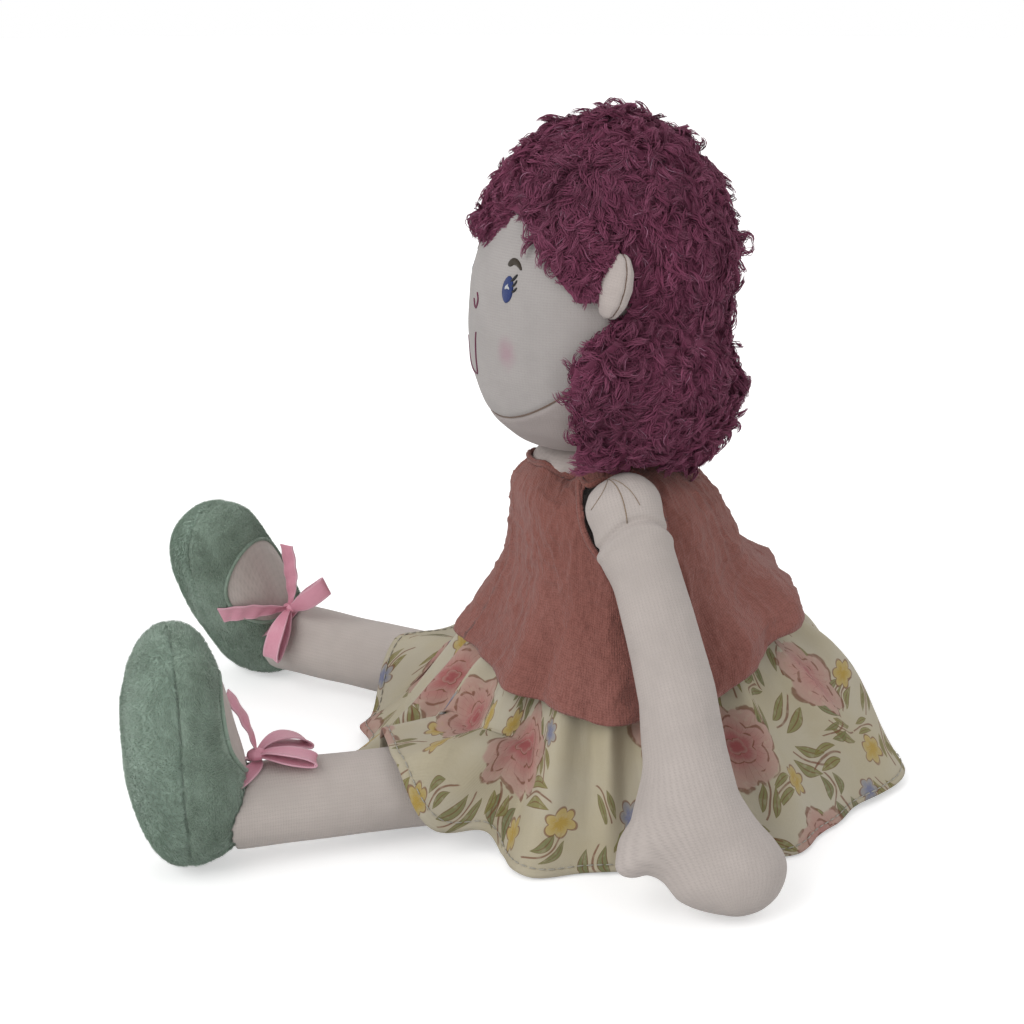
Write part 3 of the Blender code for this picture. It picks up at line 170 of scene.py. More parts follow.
# Embroidered lashes: three places in millimetres (side, front, height) and a width
LASHES = (
    (((19.6, 35.1, 8.3), (20.4, 34.3, 9.4), (21.2, 33.5, 10.8)), 0.00055),
    (((20.5, 34.9, 6.8), (21.1, 34.4, 7.7), (21.6, 33.8, 9.0)), 0.00045),
    (((20.8, 35.2, 5.2), (21.5, 34.7, 5.7), (22.2, 34.0, 6.8)), 0.00045),
)
EYE_PATH = ((19.1, 36.7, 1.6), (19.1, 36.2, 5.8), (18.7, 35.3, 10.0))
GLINTS = (
    (((18.5, 36.4, 5.8), (19.3, 36.0, 7.5)), (0.0002, 0.0006, 0.0007, 0.0006, 0.0004, 0.0002)),
    (((20.0, 35.8, 6.0), (18.8, 36.3, 7.0)), (0.0002, 0.0004, 0.0005, 0.0004, 0.0003, 0.0002)),
)
BROW_PATH = ((17.0, 35.2, 13.2), (18.3, 34.0, 14.5), (20.0, 33.0, 14.0), (21.8, 32.3, 12.2))
BROW_WIDTH = 0.00106
BROW_SHARES = (0.55, 0.95, 1.1, 1.15, 1.15, 1.1, 1.05, 1.0, 0.9, 0.85, 0.75, 0.65, 0.5, 0.25)
NOSE_HOOK = ((2.1, 41.2, 2.2), (3.1, 41.2, 0.2), (2.7, 41.4, -1.6), (1.7, 41.5, -3.2))
NOSE_END = ((1.7, 41.5, -3.2), (0.4, 41.5, -2.2), (-0.6, 41.5, -0.2))
SMILE_PATH = (
    (2.9, 41.7, -10.8), (2.1, 41.7, -13.7), (1.2, 41.4, -19.5), (0.5, 40.8, -24.8), (-3.8, 40.6, -25.9),
    (-8.0, 40.0, -24.3), (-11.4, 38.6, -20.0), (-12.6, 38.6, -15.0),
)

# Shoulder seams: places rearward and down from the shoulder at each end, and the thread's radius
SHOULDER_SEAMS = (
    ((-0.0042, -0.0125), (-0.0031, 0.0067), 0.00019),
    ((-0.0040, -0.0100), (-0.0120, -0.0012), 0.00013),
    ((-0.0035, -0.0100), (0.0020, 0.0022), 0.00013),
)

# Each bow: shares of its reach (ahead, outward, up) at the bend and the tip, and its width's way
LOOPS = {
    1: (
        ((-0.45, 0.24, 0.00), (-0.92, 0.24, -0.20), (0.22, 0.97, 0.0)),
        ((-0.42, -0.36, 0.12), (-0.90, -0.42, -0.18), (-0.35, 0.93, 0.0)),
    ),
    -1: (
        ((-0.52, 0.10, 0.30), (-1.06, 0.35, 0.68), (0.25, 0.15, 0.95)),
        ((-0.26, -0.56, 0.02), (0.0, -0.86, -0.62), (1.2, 0.0, 0.10)),
    ),
}
TAILS = {
    1: (
        ((0.05, -0.10, 0.55), (0.40, -0.22, 1.05), (0.30, 0.95, 0.0)),
        ((-0.30, 0.02, -0.02), (-0.66, -0.06, -0.24), (0.2, 0.95, 0.0)),
    ),
    -1: (
        ((0.24, -0.70, 0.50), (0.88, -0.96, 0.46), (-0.35, 0.15, 1.3)),
        ((-0.15, 0.28, 0.66), (-0.06, 0.52, 1.28), (0.95, 0.10, 0.0)),
    ),
}
LOOP_OPENING = {1: 0.0028, -1: 0.0045}


def eased(way):
    """Return a way from 0 to 1 that starts and ends gently."""
    way = min(1, max(0, way))
    return way * way * (3 - 2 * way)


eased_all = np.vectorize(eased, otypes=[float])


def read_shares(table, at, column, ease=False):
    """Read one column of a table of shares at a value of its first column."""
    for before, after in zip(table, table[1:]):
        if at <= after[0]:
            way = max(0, (at - before[0]) / (after[0] - before[0]))
            way = eased(way) if ease else way
            return before[column] + (after[column] - before[column]) * way
    return table[-1][column]


def rounded(angle, power):
    """Return the two coordinates of a unit superellipse at this angle."""
    across, along = math.cos(angle), math.sin(angle)
    return (
        math.copysign(abs(across) ** (2 / power), across),
        math.copysign(abs(along) ** (2 / power), along),
    )


class Wire:
    """An output of a material's node that is reckoned with like a number."""

    def __init__(self, nodes, socket):
        self.nodes, self.socket = nodes, socket

    def __add__(self, other):
        return self.nodes.math("ADD", self, other)

    def __sub__(self, other):
        return self.nodes.math("SUBTRACT", self, other)

    def __rsub__(self, other):
        return self.nodes.math("SUBTRACT", other, self)

    def __mul__(self, other):
        return self.nodes.math("MULTIPLY", self, other)

    def __truediv__(self, other):
        return self.nodes.math("DIVIDE", self, other)

    def __abs__(self):
        return self.nodes.math("ABSOLUTE", self)


class Nodes:
    """A material's node tree with short calls that return wires."""

    def __init__(self, name, material=None):
        self.material = material or bpy.data.materials.new(name)
        self.material.use_nodes = True
        self.tree = self.material.node_tree
        self.shader = self.tree.nodes["Principled BSDF"]

    def add(self, kind, inputs=(), output=0, **settings):
        """Add a node, fill its inputs by name or number, and return one of its outputs."""
        node = self.tree.nodes.new(kind)
        for key, value in settings.items():
            setattr(node, key, value)
        for key, value in inputs:
            self.put(node.inputs[key], value)
        if isinstance(output, tuple):
            return [Wire(self, node.outputs[key]) for key in output]
        return Wire(self, node.outputs[output])

    def put(self, socket, value):
        if isinstance(value, Wire):
            self.tree.links.new(value.socket, socket)
        elif isinstance(value, (tuple, list)) and socket.type == "RGBA":
            socket.default_value = (*value, 1.0)
        else:
            socket.default_value = value

    def math(self, operation, *values):
        return self.add("ShaderNodeMath", enumerate(values), operation=operation)

    def sine(self, value):
        return self.math("SINE", value)

    def vector(self, operation, first, second):
        output = "Value" if operation == "DISTANCE" else "Vector"
        return self.add("ShaderNodeVectorMath", enumerate((first, second)), output, operation=operation)

    def attribute(self, name, output="Vector"):
        return self.add("ShaderNodeAttribute", (), output, attribute_name=name)

    def split(self, vector):
        return self.add("ShaderNodeSeparateXYZ", ((0, vector),), (0, 1, 2))

    def join(self, x, y):
        return self.add("ShaderNodeCombineXYZ", ((0, x), (1, y)))

    def noise(self, place, scale, detail=2.0, rough=0.5, output="Fac"):
        settings = (("Vector", place), ("Scale", scale), ("Detail", detail), ("Roughness", rough))
        return self.add("ShaderNodeTexNoise", settings, output)

    def cells(self, place, scale, random, output, dimensions):
        settings = (("Vector", place), ("Scale", scale), ("Randomness", random))
        return self.add(
            "ShaderNodeTexVoronoi", settings, output, voronoi_dimensions=dimensions, feature="F1"
        )

    def span(self, value, low, high, to_low=0.0, to_high=1.0):
        """Ease from one value to another between two limits."""
        settings = enumerate((value, low, high, to_low, to_high))
        return self.add("ShaderNodeMapRange", settings, interpolation_type="SMOOTHSTEP")

    def fade(self, value, low, high):
        """Ease from 1 down to 0 between two limits."""
        return self.span(value, low, high, 1.0, 0.0)

    def mix(self, way, first, second, blend="MIX"):
        inputs = ((0, way), (6, first), (7, second))
        return self.add("ShaderNodeMix", inputs, 2, data_type="RGBA", blend_type=blend)

    def bump(self, height, distance, strength=1.0, normal=None):
        inputs = [("Distance", distance), ("Strength", strength), ("Height", height)]
        return self.add("ShaderNodeBump", inputs + ([("Normal", normal)] if normal else []))

    def finish(self, colour, normal=None, **settings):
        """Connect the colour and the bumps, and set the shader's other values."""
        self.put(self.shader.inputs["Base Color"], colour)
        if normal:
            self.put(self.shader.inputs["Normal"], normal)
        for name, value in settings.items():
            self.put(self.shader.inputs[name.replace("_", " ").title().replace("Ior", "IOR")], value)
        return self.material


def shade(colour, factor):
    """Return a colour made darker or lighter."""
    return [min(1, part * factor) for part in colour]


def jersey_material(name, colour, wales, rib=1.0):
    """Fine knit: wales run along the piece's own Z, loops repeat up them, and the cloth varies a little."""
    n = Nodes(name)
    place = n.attribute("fabric")
    x, y, z = n.split(place)
    angle = n.math("ARCTAN2", x, y)
    wale = n.sine(angle * float(wales))
    loops = n.sine(z * (TURN / LOOP_PITCH) + n.noise(place, 900.0, 1.0) * 2.6)
    zigzag = n.sine(angle * (wales * 2.0) + z * 3400.0)
    fuzz = n.noise(place, 2600.0, 3.0, 0.65)
    height = wale * (0.5 * rib) + loops * 0.20 + zigzag * 0.14 + fuzz * 0.9
    blotch = n.span(n.noise(place, 55.0, 3.0, 0.55), 0.3, 0.72)
    tint = n.mix(blotch, shade(colour, 0.93), shade(colour, 1.05))
    # Painted shade: the knit's low places between wales and loops are darkened.
    tint = n.mix(n.span(height, -0.35, 0.75), shade(colour, 0.87), tint)
    speck = n.span(n.cells(place, 420.0, 1.0, "Distance", "3D"), 0.05, 0.16, 0.25, 0.0)
    tint = n.mix(speck, tint, shade(colour, 0.86))
    normal = n.bump(n.noise(place, 130.0, 2.0), 0.0008, 0.35)
    normal = n.bump(height, 0.00013, 0.6, normal)
    return n.finish(
        tint, normal, roughness=0.92, sheen_weight=0.12, sheen_roughness=0.6, specular_ior_level=0.25
    )


def plush_material():
    """Curled pile, darker at its roots with painted shade and lighter at its tips with painted light, with
    each lock a little different.
    """
    n = Nodes("plush_plum_pile")
    tone, tip, place = n.attribute("tone", "Fac"), n.attribute("tip", "Fac"), n.attribute("fabric")
    dark = n.mix(tone, (0.150, 0.032, 0.069), (0.215, 0.048, 0.102))
    light = n.mix(tone, (0.195, 0.043, 0.091), (0.285, 0.083, 0.150))
    # Painted shade at each fibre's root and painted light towards its tip.
    colour = n.mix(n.span(tip, 0.0, 0.9), dark, light)
    # Painted highlights: fibres whose tone is above 1 are painted pale, as glints of light.
    colour = n.mix(n.span(tone, 1.05, 1.9, 0.0, 0.8), colour, (0.46, 0.25, 0.35))
    patch = n.span(n.noise(place, 45.0, 2.0), 0.35, 0.7)
    colour = n.mix(patch, n.mix(0.22, colour, (0.05, 0.012, 0.026)), colour)
    normal = n.bump(n.noise(place, 1800.0, 2.0, 0.6), 0.0002, 0.5)
    return n.finish(
        colour, normal, roughness=0.70, sheen_weight=0.06, sheen_roughness=0.4, specular_ior_level=0.22
    )


def gauze_material():
    """Crinkled double gauze: a fine open weave, soft creases that run down it, and painted shade along thin
    crinkle ridges and in the weave's gaps.
    """
    n = Nodes("gauze_rose_weave")
    u, v, _ = n.split(n.attribute("flat"))
    flat = n.join(u, v)
    warp = n.sine(u * (TURN / WARP_PITCH) + n.noise(flat, 260.0, 2.0) * 9.0)
    weft = n.sine(v * (TURN / WEFT_PITCH) + n.noise(flat, 210.0, 2.0) * 7.0)
    weave = (warp + weft) * 0.25
    slub = n.noise(n.join(u * 5.0, v), 320.0, 3.0, 0.6)
    ridge = abs(n.noise(n.join(u * 1.5, v * 1.2), 190.0, 4.0, 0.62) - 0.5)
    dark = (0.145, 0.050, 0.040)
    colour = n.mix(
        n.span(n.noise(flat, 24.0, 3.0), 0.3, 0.75), (0.226, 0.088, 0.072), (0.265, 0.112, 0.094)
    )
    # Painted shade: darker along thin crinkle ridges and in the gaps of the weave.
    colour = n.mix(n.span(ridge, 0.0, 0.035, 0.45, 0.0), colour, dark)
    colour = n.mix(n.span(weave, -0.35, 0.0, 0.38, 0.0), colour, dark)
    normal = n.bump(weave * 0.5 - ridge * 5.0 + slub * 1.1, 0.00032, 0.8)
    return n.finish(
        colour, normal, roughness=0.95, sheen_weight=0.18, sheen_roughness=0.5, specular_ior_level=0.15
    )


def petals(n, x, y, count, size, depth, spin=0.0):
    """Return a distance that is below 1 inside a flower outline with this many petals."""
    wave = abs(n.math("COSINE", (n.math("ARCTAN2", y, x) + spin) * (count / 2)))
    radius = n.math("SQRT", x * x + y * y)
    return radius / ((wave * depth + (1 - depth)) * size)


def scatter(n, flat, scale, random, shift, shown):
    """Return turned places about the nearest scattered point, a mask of those shown and a random value."""
    moved = n.vector("ADD", flat, shift)
    place, colour = n.cells(moved, scale, random, ("Position", "Color"), "2D")
    red, green, blue = n.split(colour)
    x, y, _ = n.split(n.vector("SUBTRACT", moved, place))
    turn = red * TURN
    cosine, sine = n.math("COSINE", turn), n.sine(turn)
    return x * cosine + y * sine, y * cosine - x * sine, n.math("LESS_THAN", green, shown), blue


def leaf(n, along, across, length, width):
    """Return how far inside a pointed leaf a place is: 1 at its midrib, 0 at its edge."""
    way = along / length
    full = 1.0 - way * way
    inside = 1.0 - abs(across) / (n.math("MAXIMUM", full, 0.0001) * width)
    return inside * n.math("GREATER_THAN", full, 0.0)


def leaf_sprays(n, flat):
    """Return the print's layers of leaves and stems, each a mask, an ink and a strength."""
    for scale, shift, size in ((46.0, (0.011, 0.004, 0.0), 1.0), (62.0, (0.137, 0.093, 0.0), 0.72)):
        along, across, shown, two = scatter(n, flat, scale, 0.9, shift, 0.62)
        green = n.mix(two, (0.190, 0.175, 0.045), (0.115, 0.135, 0.050))
        for lean in (-0.0034, 0.0034):
            bent = across - lean * size + along * along * 40.0
            inside = leaf(n, along, bent, 0.0066 * size, 0.0023 * size) * shown
            yield n.span(inside, 0.02, 0.20), green, 0.85
            yield n.fade(abs(inside - 0.17), 0.05, 0.12), PRINT_LINE, 0.6
            yield n.span(inside, 0.86, 0.95), PRINT_LINE, 0.7
        stem = n.fade(abs(across + along * along * 40.0), 0.0002, 0.00055) * n.fade(
            abs(along), 0.0075, 0.0082
        )
        yield stem * shown, PRINT_LINE, 0.8


def small_flowers(n, flat):
    """Return the print's layers of small yellow and blue flowers."""
    along, across, shown, two = scatter(n, flat, 36.0, 1.0, (0.061, 0.027, 0.0), 0.72)
    edge = petals(n, along, across, 6.0, 0.0058, 0.34)
    ink = n.mix(n.math("GREATER_THAN", two, 0.62), (0.400, 0.275, 0.060), (0.165, 0.185, 0.290))
    pale = n.mix(0.45, ink, (0.42, 0.37, 0.22))
    yield n.fade(edge, 0.9, 1.0) * shown, n.mix(n.span(edge, 0.2, 0.9), ink, pale), 1.0
    yield n.fade(abs(edge - 0.97), 0.04, 0.10) * shown, PRINT_LINE, 0.7
    rays = abs(n.sine(n.math("ARCTAN2", across, along) * 9.0))
    yield n.fade(rays, 0.08, 0.22) * n.fade(edge, 0.30, 0.62) * shown, PRINT_LINE, 0.6


def large_blooms(n, flat, fine):
    """Return the print's layers of large pink blooms, made of rings of petals."""
    along, across, shown, _ = scatter(n, flat, 16.5, 0.5, (0.021, 0.030, 0.0), 0.80)
    along = along + (n.noise(flat, 260.0, 2.0) - 0.5) * 0.0026
    ragged = n.span(n.noise(flat, 190.0, 1.0), 0.45, 0.62, 0.0, 0.08)
    for count, size, depth, ink, spin in BLOOM_RINGS:
        edge = petals(n, along, across, count, size, depth, spin)
        rim = n.mix(0.45, ink, (0.42, 0.33, 0.27))
        yield n.fade(edge, 0.93, 1.0) * shown, n.mix(n.span(edge, 0.45, 1.0), ink, rim), 1.0
        yield n.fade(abs(edge - 0.98) + ragged, 0.025, 0.07) * shown, PRINT_LINE, 0.75
    streak = abs(n.sine(n.math("ARCTAN2", across, along) * 15.0 + fine * 2.0))
    streak = n.fade(streak, 0.03, 0.14) * n.fade(petals(n, along, across, 6.0, 0.0150, 0.3), 0.75, 1.0)
    yield streak * shown, PRINT_LINE, 0.45


def print_material():
    """Cream cotton with a generic scattered print of blooms, small flowers, leaves and brown lines."""
    n = Nodes("cotton_cream_print")
    u, v, _ = n.split(n.attribute("flat"))
    plain = n.join(u, v)
    sway = n.vector("SUBTRACT", n.noise(plain, 38.0, 2.0, 0.5, "Color"), (0.5, 0.5, 0.5))
    flat = n.vector("ADD", plain, n.vector("MULTIPLY", sway, (0.012, 0.012, 0.0)))
    fine = n.noise(flat, 420.0, 2.0)
    colour = n.mix(n.span(n.noise(flat, 30.0, 3.0), 0.3, 0.7), (0.425, 0.374, 0.262), (0.448, 0.408, 0.322))
    for mask, ink, strength in (
        *leaf_sprays(n, flat), *small_flowers(n, flat), *large_blooms(n, flat, fine)
    ):
        worn = mask * n.span(fine, 0.30, 0.52, 0.72 * strength, strength)
        colour = n.mix(worn, colour, ink)
    threads = n.sine(u * (TURN / COTTON_PITCH)) * n.sine(v * (TURN / COTTON_PITCH))
    weave = threads + n.noise(flat, 1500.0, 2.0)
    # Painted shade in the low places between the cotton's threads.
    colour = n.mix(n.span(weave, -0.6, 1.3, 0.16, 0.0), colour, (0.20, 0.17, 0.12))
    normal = n.bump(n.noise(flat, 90.0, 4.0, 0.55), 0.0011, 0.5)
    normal = n.bump(weave, 0.0001, 0.5, normal)
    return n.finish(
        colour, normal, roughness=0.88, sheen_weight=0.08, sheen_roughness=0.5, specular_ior_level=0.25
    )


def plain_cotton_material():
    """The cream cotton without its print, for the waistband."""
    n = Nodes("cotton_cream_plain")
    place = n.attribute("fabric")
    colour = n.mix(n.span(n.noise(place, 60.0, 3.0), 0.3, 0.7), (0.36, 0.33, 0.25), (0.40, 0.38, 0.31))
    normal = n.bump(n.noise(place, 1500.0, 2.0), 0.0002, 0.6)
    return n.finish(colour, normal, roughness=0.9, sheen_weight=0.08, specular_ior_level=0.25)


def velour_material(name, colour, deep, rub):
    """Short dense pile whose nap lies in brushed patches."""
    n = Nodes(name)
    place = n.attribute("fabric")
    stroke = n.noise(n.vector("MULTIPLY", place, (1.0, 1.0, 0.35)), 260.0, 3.0, 0.6)
    nap = n.noise(place, 70.0, 4.0, 0.6) * 0.6 + stroke * 0.4
    fibre = n.noise(place, 2200.0, 3.0, 0.7)
    tint = n.mix(n.span(nap, 0.36, 0.64), deep, colour)
    # Painted shade among the fibres: the low places of the fibre bumps are darkened.
    tint = n.mix(n.span(fibre, 0.35, 0.65, 0.10, 0.0), tint, shade(deep, 0.55))
    tint = n.mix(n.span(n.noise(place, 900.0, 2.0), 0.55, 0.75, 0.0, rub), tint, shade(colour, 1.45))
    normal = n.bump(stroke, 0.0010, 0.35)
    normal = n.bump(fibre, 0.00045, 0.8, normal)
    return n.finish(
        tint, normal, roughness=0.85, sheen_weight=0.45, sheen_roughness=0.35, specular_ior_level=0.15
    )


def satin_material():
    """Pink satin ribbon with fine lengthwise threads and paler woven edges."""
    n = Nodes("satin_pink_weave")
    along, across, _ = n.split(n.attribute("flat"))
    edge = n.span(abs(across), 0.76, 0.90)
    threads = n.noise(n.join(along * 60.0, across * 26.0), 4.0, 3.0, 0.6)
    colour = n.mix(n.span(threads, 0.3, 0.7), (0.520, 0.200, 0.270), (0.660, 0.300, 0.380))
    colour = n.mix(edge, colour, (0.620, 0.330, 0.400))
    ribs = n.sine(along * (TURN / RIB_PITCH))
    normal = n.bump(ribs * edge * 0.4 + threads, 0.00012, 0.6)
    shine = {"specular_ior_level": 0.55, "anisotropic": 0.35, "sheen_weight": 0.15, "sheen_roughness": 0.3}
    return n.finish(colour, normal, roughness=0.36, **shine)


def thread_material(name, colour, shine=0.35):
    """Embroidery or sewing thread, laid in fine parallel strands."""
    n = Nodes(name)
    place = n.attribute("fabric")
    x, _, z = n.split(place)
    strands = n.sine((x + z) * (TURN / STRAND_PITCH) + n.noise(place, 700.0, 1.0) * 4.0)
    # Painted shade in the low places between the strands.
    tint = n.mix(n.span(strands, -0.8, 0.5, 0.45, 0.0), colour, shade(colour, 0.5))
    normal = n.bump(strands, 0.00012, 0.7)
    return n.finish(tint, normal, roughness=0.55, specular_ior_level=shine, sheen_weight=0.1)


def link(name, data, material):
    """Put a mesh in the scene under a piece name with its material."""
    data.shade_smooth()
    thing = bpy.data.objects.new(name, data)
    scene.collection.objects.link(thing)
    data.materials.append(material)
    return thing


def mesh_from(name, points, faces, material):
    """Make an object from points and faces."""
    data = bpy.data.meshes.new(name)
    data.from_pydata([tuple(point) for point in points], [], [tuple(face) for face in faces])
    data.validate()
    return link(name, data, material)


def mesh_from_arrays(name, points, corners, sizes, material):
    """Make an object from arrays: points, the faces' corners in one row, and each face's count."""
    data = bpy.data.meshes.new(name)
    data.vertices.add(len(points))
    data.vertices.foreach_set("co", np.asarray(points, np.float32).ravel())
    data.loops.add(len(corners))
    data.loops.foreach_set("vertex_index", np.asarray(corners, np.int32))
    data.polygons.add(len(sizes))
    starts = np.concatenate([[0], np.cumsum(sizes)[:-1]])
    data.polygons.foreach_set("loop_start", starts.astype(np.int32))
    data.update(calc_edges=True)
    return link(name, data, material)


def read_vectors(rows, key):
    """Return one vector of each row of mesh data as an array."""
    found = np.empty(len(rows) * 3, np.float32)
    rows.foreach_get(key, found)
    return found.reshape(-1, 3).astype(float)


def points_of(thing):
    """Return an object's points as an array."""
    return read_vectors(thing.data.vertices, "co")


def normals_of(thing):
    """Return an object's point normals as an array."""
    return read_vectors(thing.data.vertex_normals, "vector")


def put_points(thing, points):
    """Set an object's points."""
    thing.data.vertices.foreach_set("co", np.asarray(points, np.float32).ravel())
    thing.data.update()


def put_values(thing, name, values, kind="FLOAT", key="value"):
    """Store a number for each point of a mesh."""
    found = thing.data.attributes.get(name) or thing.data.attributes.new(name, kind, "POINT")
    found.data.foreach_set(key, np.asarray(values, np.float32).ravel())


def put_vectors(thing, name, vectors):
    """Store a vector for each point of a mesh."""
    put_values(thing, name, vectors, "FLOAT_VECTOR", "vector")


def row_of(vector):
    """Return a vector as an array."""
    return np.array(list(vector), float)


def tree_of(thing):
    """Return a search tree of an object's faces."""
    spots = [Vector(point) for point in points_of(thing)]
    return BVHTree.FromPolygons(spots, [tuple(face.vertices) for face in thing.data.polygons])


def modified(thing, kind, material=None, **settings):
    """Put one modifier on an object and apply it."""
    change = thing.modifiers.new(kind, kind)
    for key, value in settings.items():
        setattr(change, key, value)
    graph = bpy.context.evaluated_depsgraph_get()
    data = bpy.data.meshes.new_from_object(thing.evaluated_get(graph))
    thing.modifiers.clear()
    thing.data = data
    data.shade_smooth()
    if material and not data.materials:
        data.materials.append(material)
    return thing


def frame_of(origin, axes):
    """Return a function from places to a piece's own coordinates."""
    rows = np.array([list(axis) for axis in axes], float)
    return lambda points: (points - row_of(origin)) @ rows.T


def edited(data, change):
    """Run one change on a mesh's editable form."""
    mesh = bmesh.new()
    mesh.from_mesh(data)
    change(mesh)
    mesh.to_mesh(data)
    mesh.free()


def joined_up(mesh):
    """Join points of a mesh that lie on each other."""
    bmesh.ops.remove_doubles(mesh, verts=mesh.verts, dist=SAME_PLACE)


def soft_copy(name, nodes, material, voxel, rounds, local):
    """Make one smooth stuffed form from CAD nodes, and tell it its own coordinates."""

    def gather(mesh):
        for node in nodes:
            mesh.from_mesh(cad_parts[node].data)
        joined_up(mesh)

    data = bpy.data.meshes.new(name)
    edited(data, gather)
    thing = link(name, data, material)
    modified(thing, "REMESH", material, mode="VOXEL", voxel_size=voxel)
    modified(thing, "SMOOTH", material, factor=0.5, iterations=rounds)
    put_vectors(thing, "fabric", local(points_of(thing)))
    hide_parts(*nodes)
    return thing


def swell(thing, amount):
    """Move each point along its normal by its own amount."""
    put_points(thing, points_of(thing) + normals_of(thing) * np.asarray(amount)[:, None])


def soften(thing, weights, rounds):
    """Smooth a form where its weights are 1 and leave it where they are 0."""
    group = thing.vertex_groups.new(name="soften")
    for index, weight in enumerate(weights):
        if weight > 0:
            group.add([index], float(weight), "REPLACE")
    modified(thing, "SMOOTH", factor=0.5, iterations=rounds, vertex_group="soften")
    thing.vertex_groups.clear()


def wrinkles(points, scale, seed):
    """Return smooth noise from -1 to 1 at each point."""
    shift = Vector((seed * 7.1, seed * 3.3, seed * 5.7))
    return np.array([noise.noise(Vector(point) * scale + shift) for point in points])


def loft_faces(rows, sides, joined=False):
    """Return the quads between rings of points, joined end to end or not."""
    faces = []
    for step in range(rows if joined else rows - 1):
        here, there = step * sides, (step + 1) % rows * sides
        for turn in range(sides):
            after = (turn + 1) % sides
            faces.append((here + turn, here + after, there + after, there + turn))
    return faces


def end_caps(rows, sides):
    """Return the faces that close the first and the last ring of points."""
    last = (rows - 1) * sides
    return [tuple(range(sides - 1, -1, -1)), tuple(last + turn for turn in range(sides))]


def tube(points, radius, sides=5):
    """Return points and faces of a closed tube along a line; the radius may differ at each point."""
    places = [Vector(point) for point in points]
    count = len(places)
    radii = [radius] * count if isinstance(radius, float) else list(radius)
    spots = []
    for step, place in enumerate(places):
        run = (places[min(count - 1, step + 1)] - places[max(0, step - 1)]).normalized()
        side = run.cross(Vector((0.31, 0.17, 0.93))).normalized()
        up = run.cross(side)
        for turn in range(sides):
            angle = TURN * turn / sides
            spots.append(place + (side * math.cos(angle) + up * math.sin(angle)) * radii[step])
    return spots, loft_faces(count, sides) + end_caps(count, sides)


def gathered_mesh(name, parts, material):
    """Join lists of points and faces into one object with its rest places stored."""
    spots, faces = [], []
    for some_spots, some_faces in parts:
        start = len(spots)
        spots.extend(some_spots)
        faces.extend(tuple(start + index for index in face) for face in some_faces)
    thing = mesh_from(name, spots, faces, material)
    put_vectors(thing, "fabric", points_of(thing))
    return thing


def even_line(points, spacing):
    """Return points at even distances along a line."""
    places = np.array([list(point) for point in points], float)
    steps = np.linalg.norm(np.diff(places, axis=0), axis=1)
    lengths = np.concatenate([[0], np.cumsum(steps)])
    wanted = np.linspace(0, lengths[-1], max(2, int(lengths[-1] / spacing) + 1))
    return np.stack([np.interp(wanted, lengths, places[:, axis]) for axis in range(3)], axis=1)


def stitches(points, length, gap, radius):
    """Return the parts of a row of sewn stitches along a line."""
    line = even_line(points, (length + gap) / 4)
    thick = [radius * 0.5, radius, radius, radius * 0.5]
    return [tube(line[start : start + 4], thick) for start in range(0, len(line) - 4, 4)]


def in_head(point):
    """Turn a place given about the head's middle as the head is turned at rest."""
    pivot = Vector((0, NECK_Y, 0))
    return pivot + Matrix.Rotation(HEAD_TURN, 3, "Z") @ (HEAD_MIDDLE + Vector(point) - pivot)


def arm_axes(sign):
    """Return an arm's direction at rest, its rearward direction and its outward direction."""
    down = math.cos(ARM_OUT)
    direction = Vector((sign * math.sin(ARM_OUT), down * math.sin(ARM_BACK), -down * math.cos(ARM_BACK)))
    rear = (Vector((0, 1, 0)) - direction * direction.y).normalized()
    return direction, rear, rear.cross(direction) * sign


def shoulder_place(sign):
    """Return the middle of a shoulder."""
    return Vector((sign * SHOULDER.x, SHOULDER.y, SHOULDER.z))


def hip_place(sign):
    """Return the middle of a hip."""
    return Vector((sign * HIP.x, HIP.y, HIP.z))


def leg_axes(sign):
    """Return a leg's direction at rest, its hinge axis and the direction level with it."""
    level = Vector((sign * math.sin(SPLAY[sign]), -math.cos(SPLAY[sign]), 0))
    direction = (level * LEG_LENGTH + Vector((0, 0, LEG_RISE))).normalized()
    return direction, Vector((0, 0, 1)).cross(level), level


def ankle_place(sign):
    """Return the middle of an ankle."""
    return hip_place(sign) + leg_axes(sign)[2] * LEG_LENGTH + Vector((0, 0, LEG_RISE))


def ankle_frame(sign):
    """Return the heel's middle under the ankle and the shoe's directions: ahead, outward and up."""
    ahead = Matrix.Rotation(FOOT_TURN[sign] * sign, 3, "Z") @ leg_axes(sign)[2]
    lean = Matrix.Rotation(FOOT_ROLL[sign] * sign, 3, ahead)
    outward = lean @ Vector((sign * -ahead.y, sign * ahead.x, 0))
    up = lean @ Vector((0, 0, 1))
    return ankle_place(sign) - up * ANKLE_HEIGHT, ahead, outward, up


def torso_half_widths(share, grow):
    """Return the torso's half width, its front and its back at a share of its height."""
    half_width = TORSO_WIDTH * read_shares(TORSO_SHARES, share, 1) + grow
    half_depth = TORSO_DEPTH * read_shares(TORSO_SHARES, share, 2) + grow
    middle = TORSO_DEPTH * read_shares(TORSO_SHARES, share, 3)
    return half_width, half_depth - middle, half_depth + middle


def leg_tent(x, y, sign):
    """Return the height of cloth that lies over a leg at a place on the floor plan."""
    direction, _, level = leg_axes(sign)
    hip = hip_place(sign)
    along = (x - hip.x) * level.x + (y - hip.y) * level.y
    beside = abs((x - hip.x) * level.y - (y - hip.y) * level.x)
    if along < 0:
        beside = math.hypot(along, beside)
        along = 0
    reach = LEG_RADIUS + 0.0026
    top = hip.z + direction.z * along + reach
    return top * (1 - eased((beside - 0.70 * reach) / (0.30 * reach + 0.0085)))


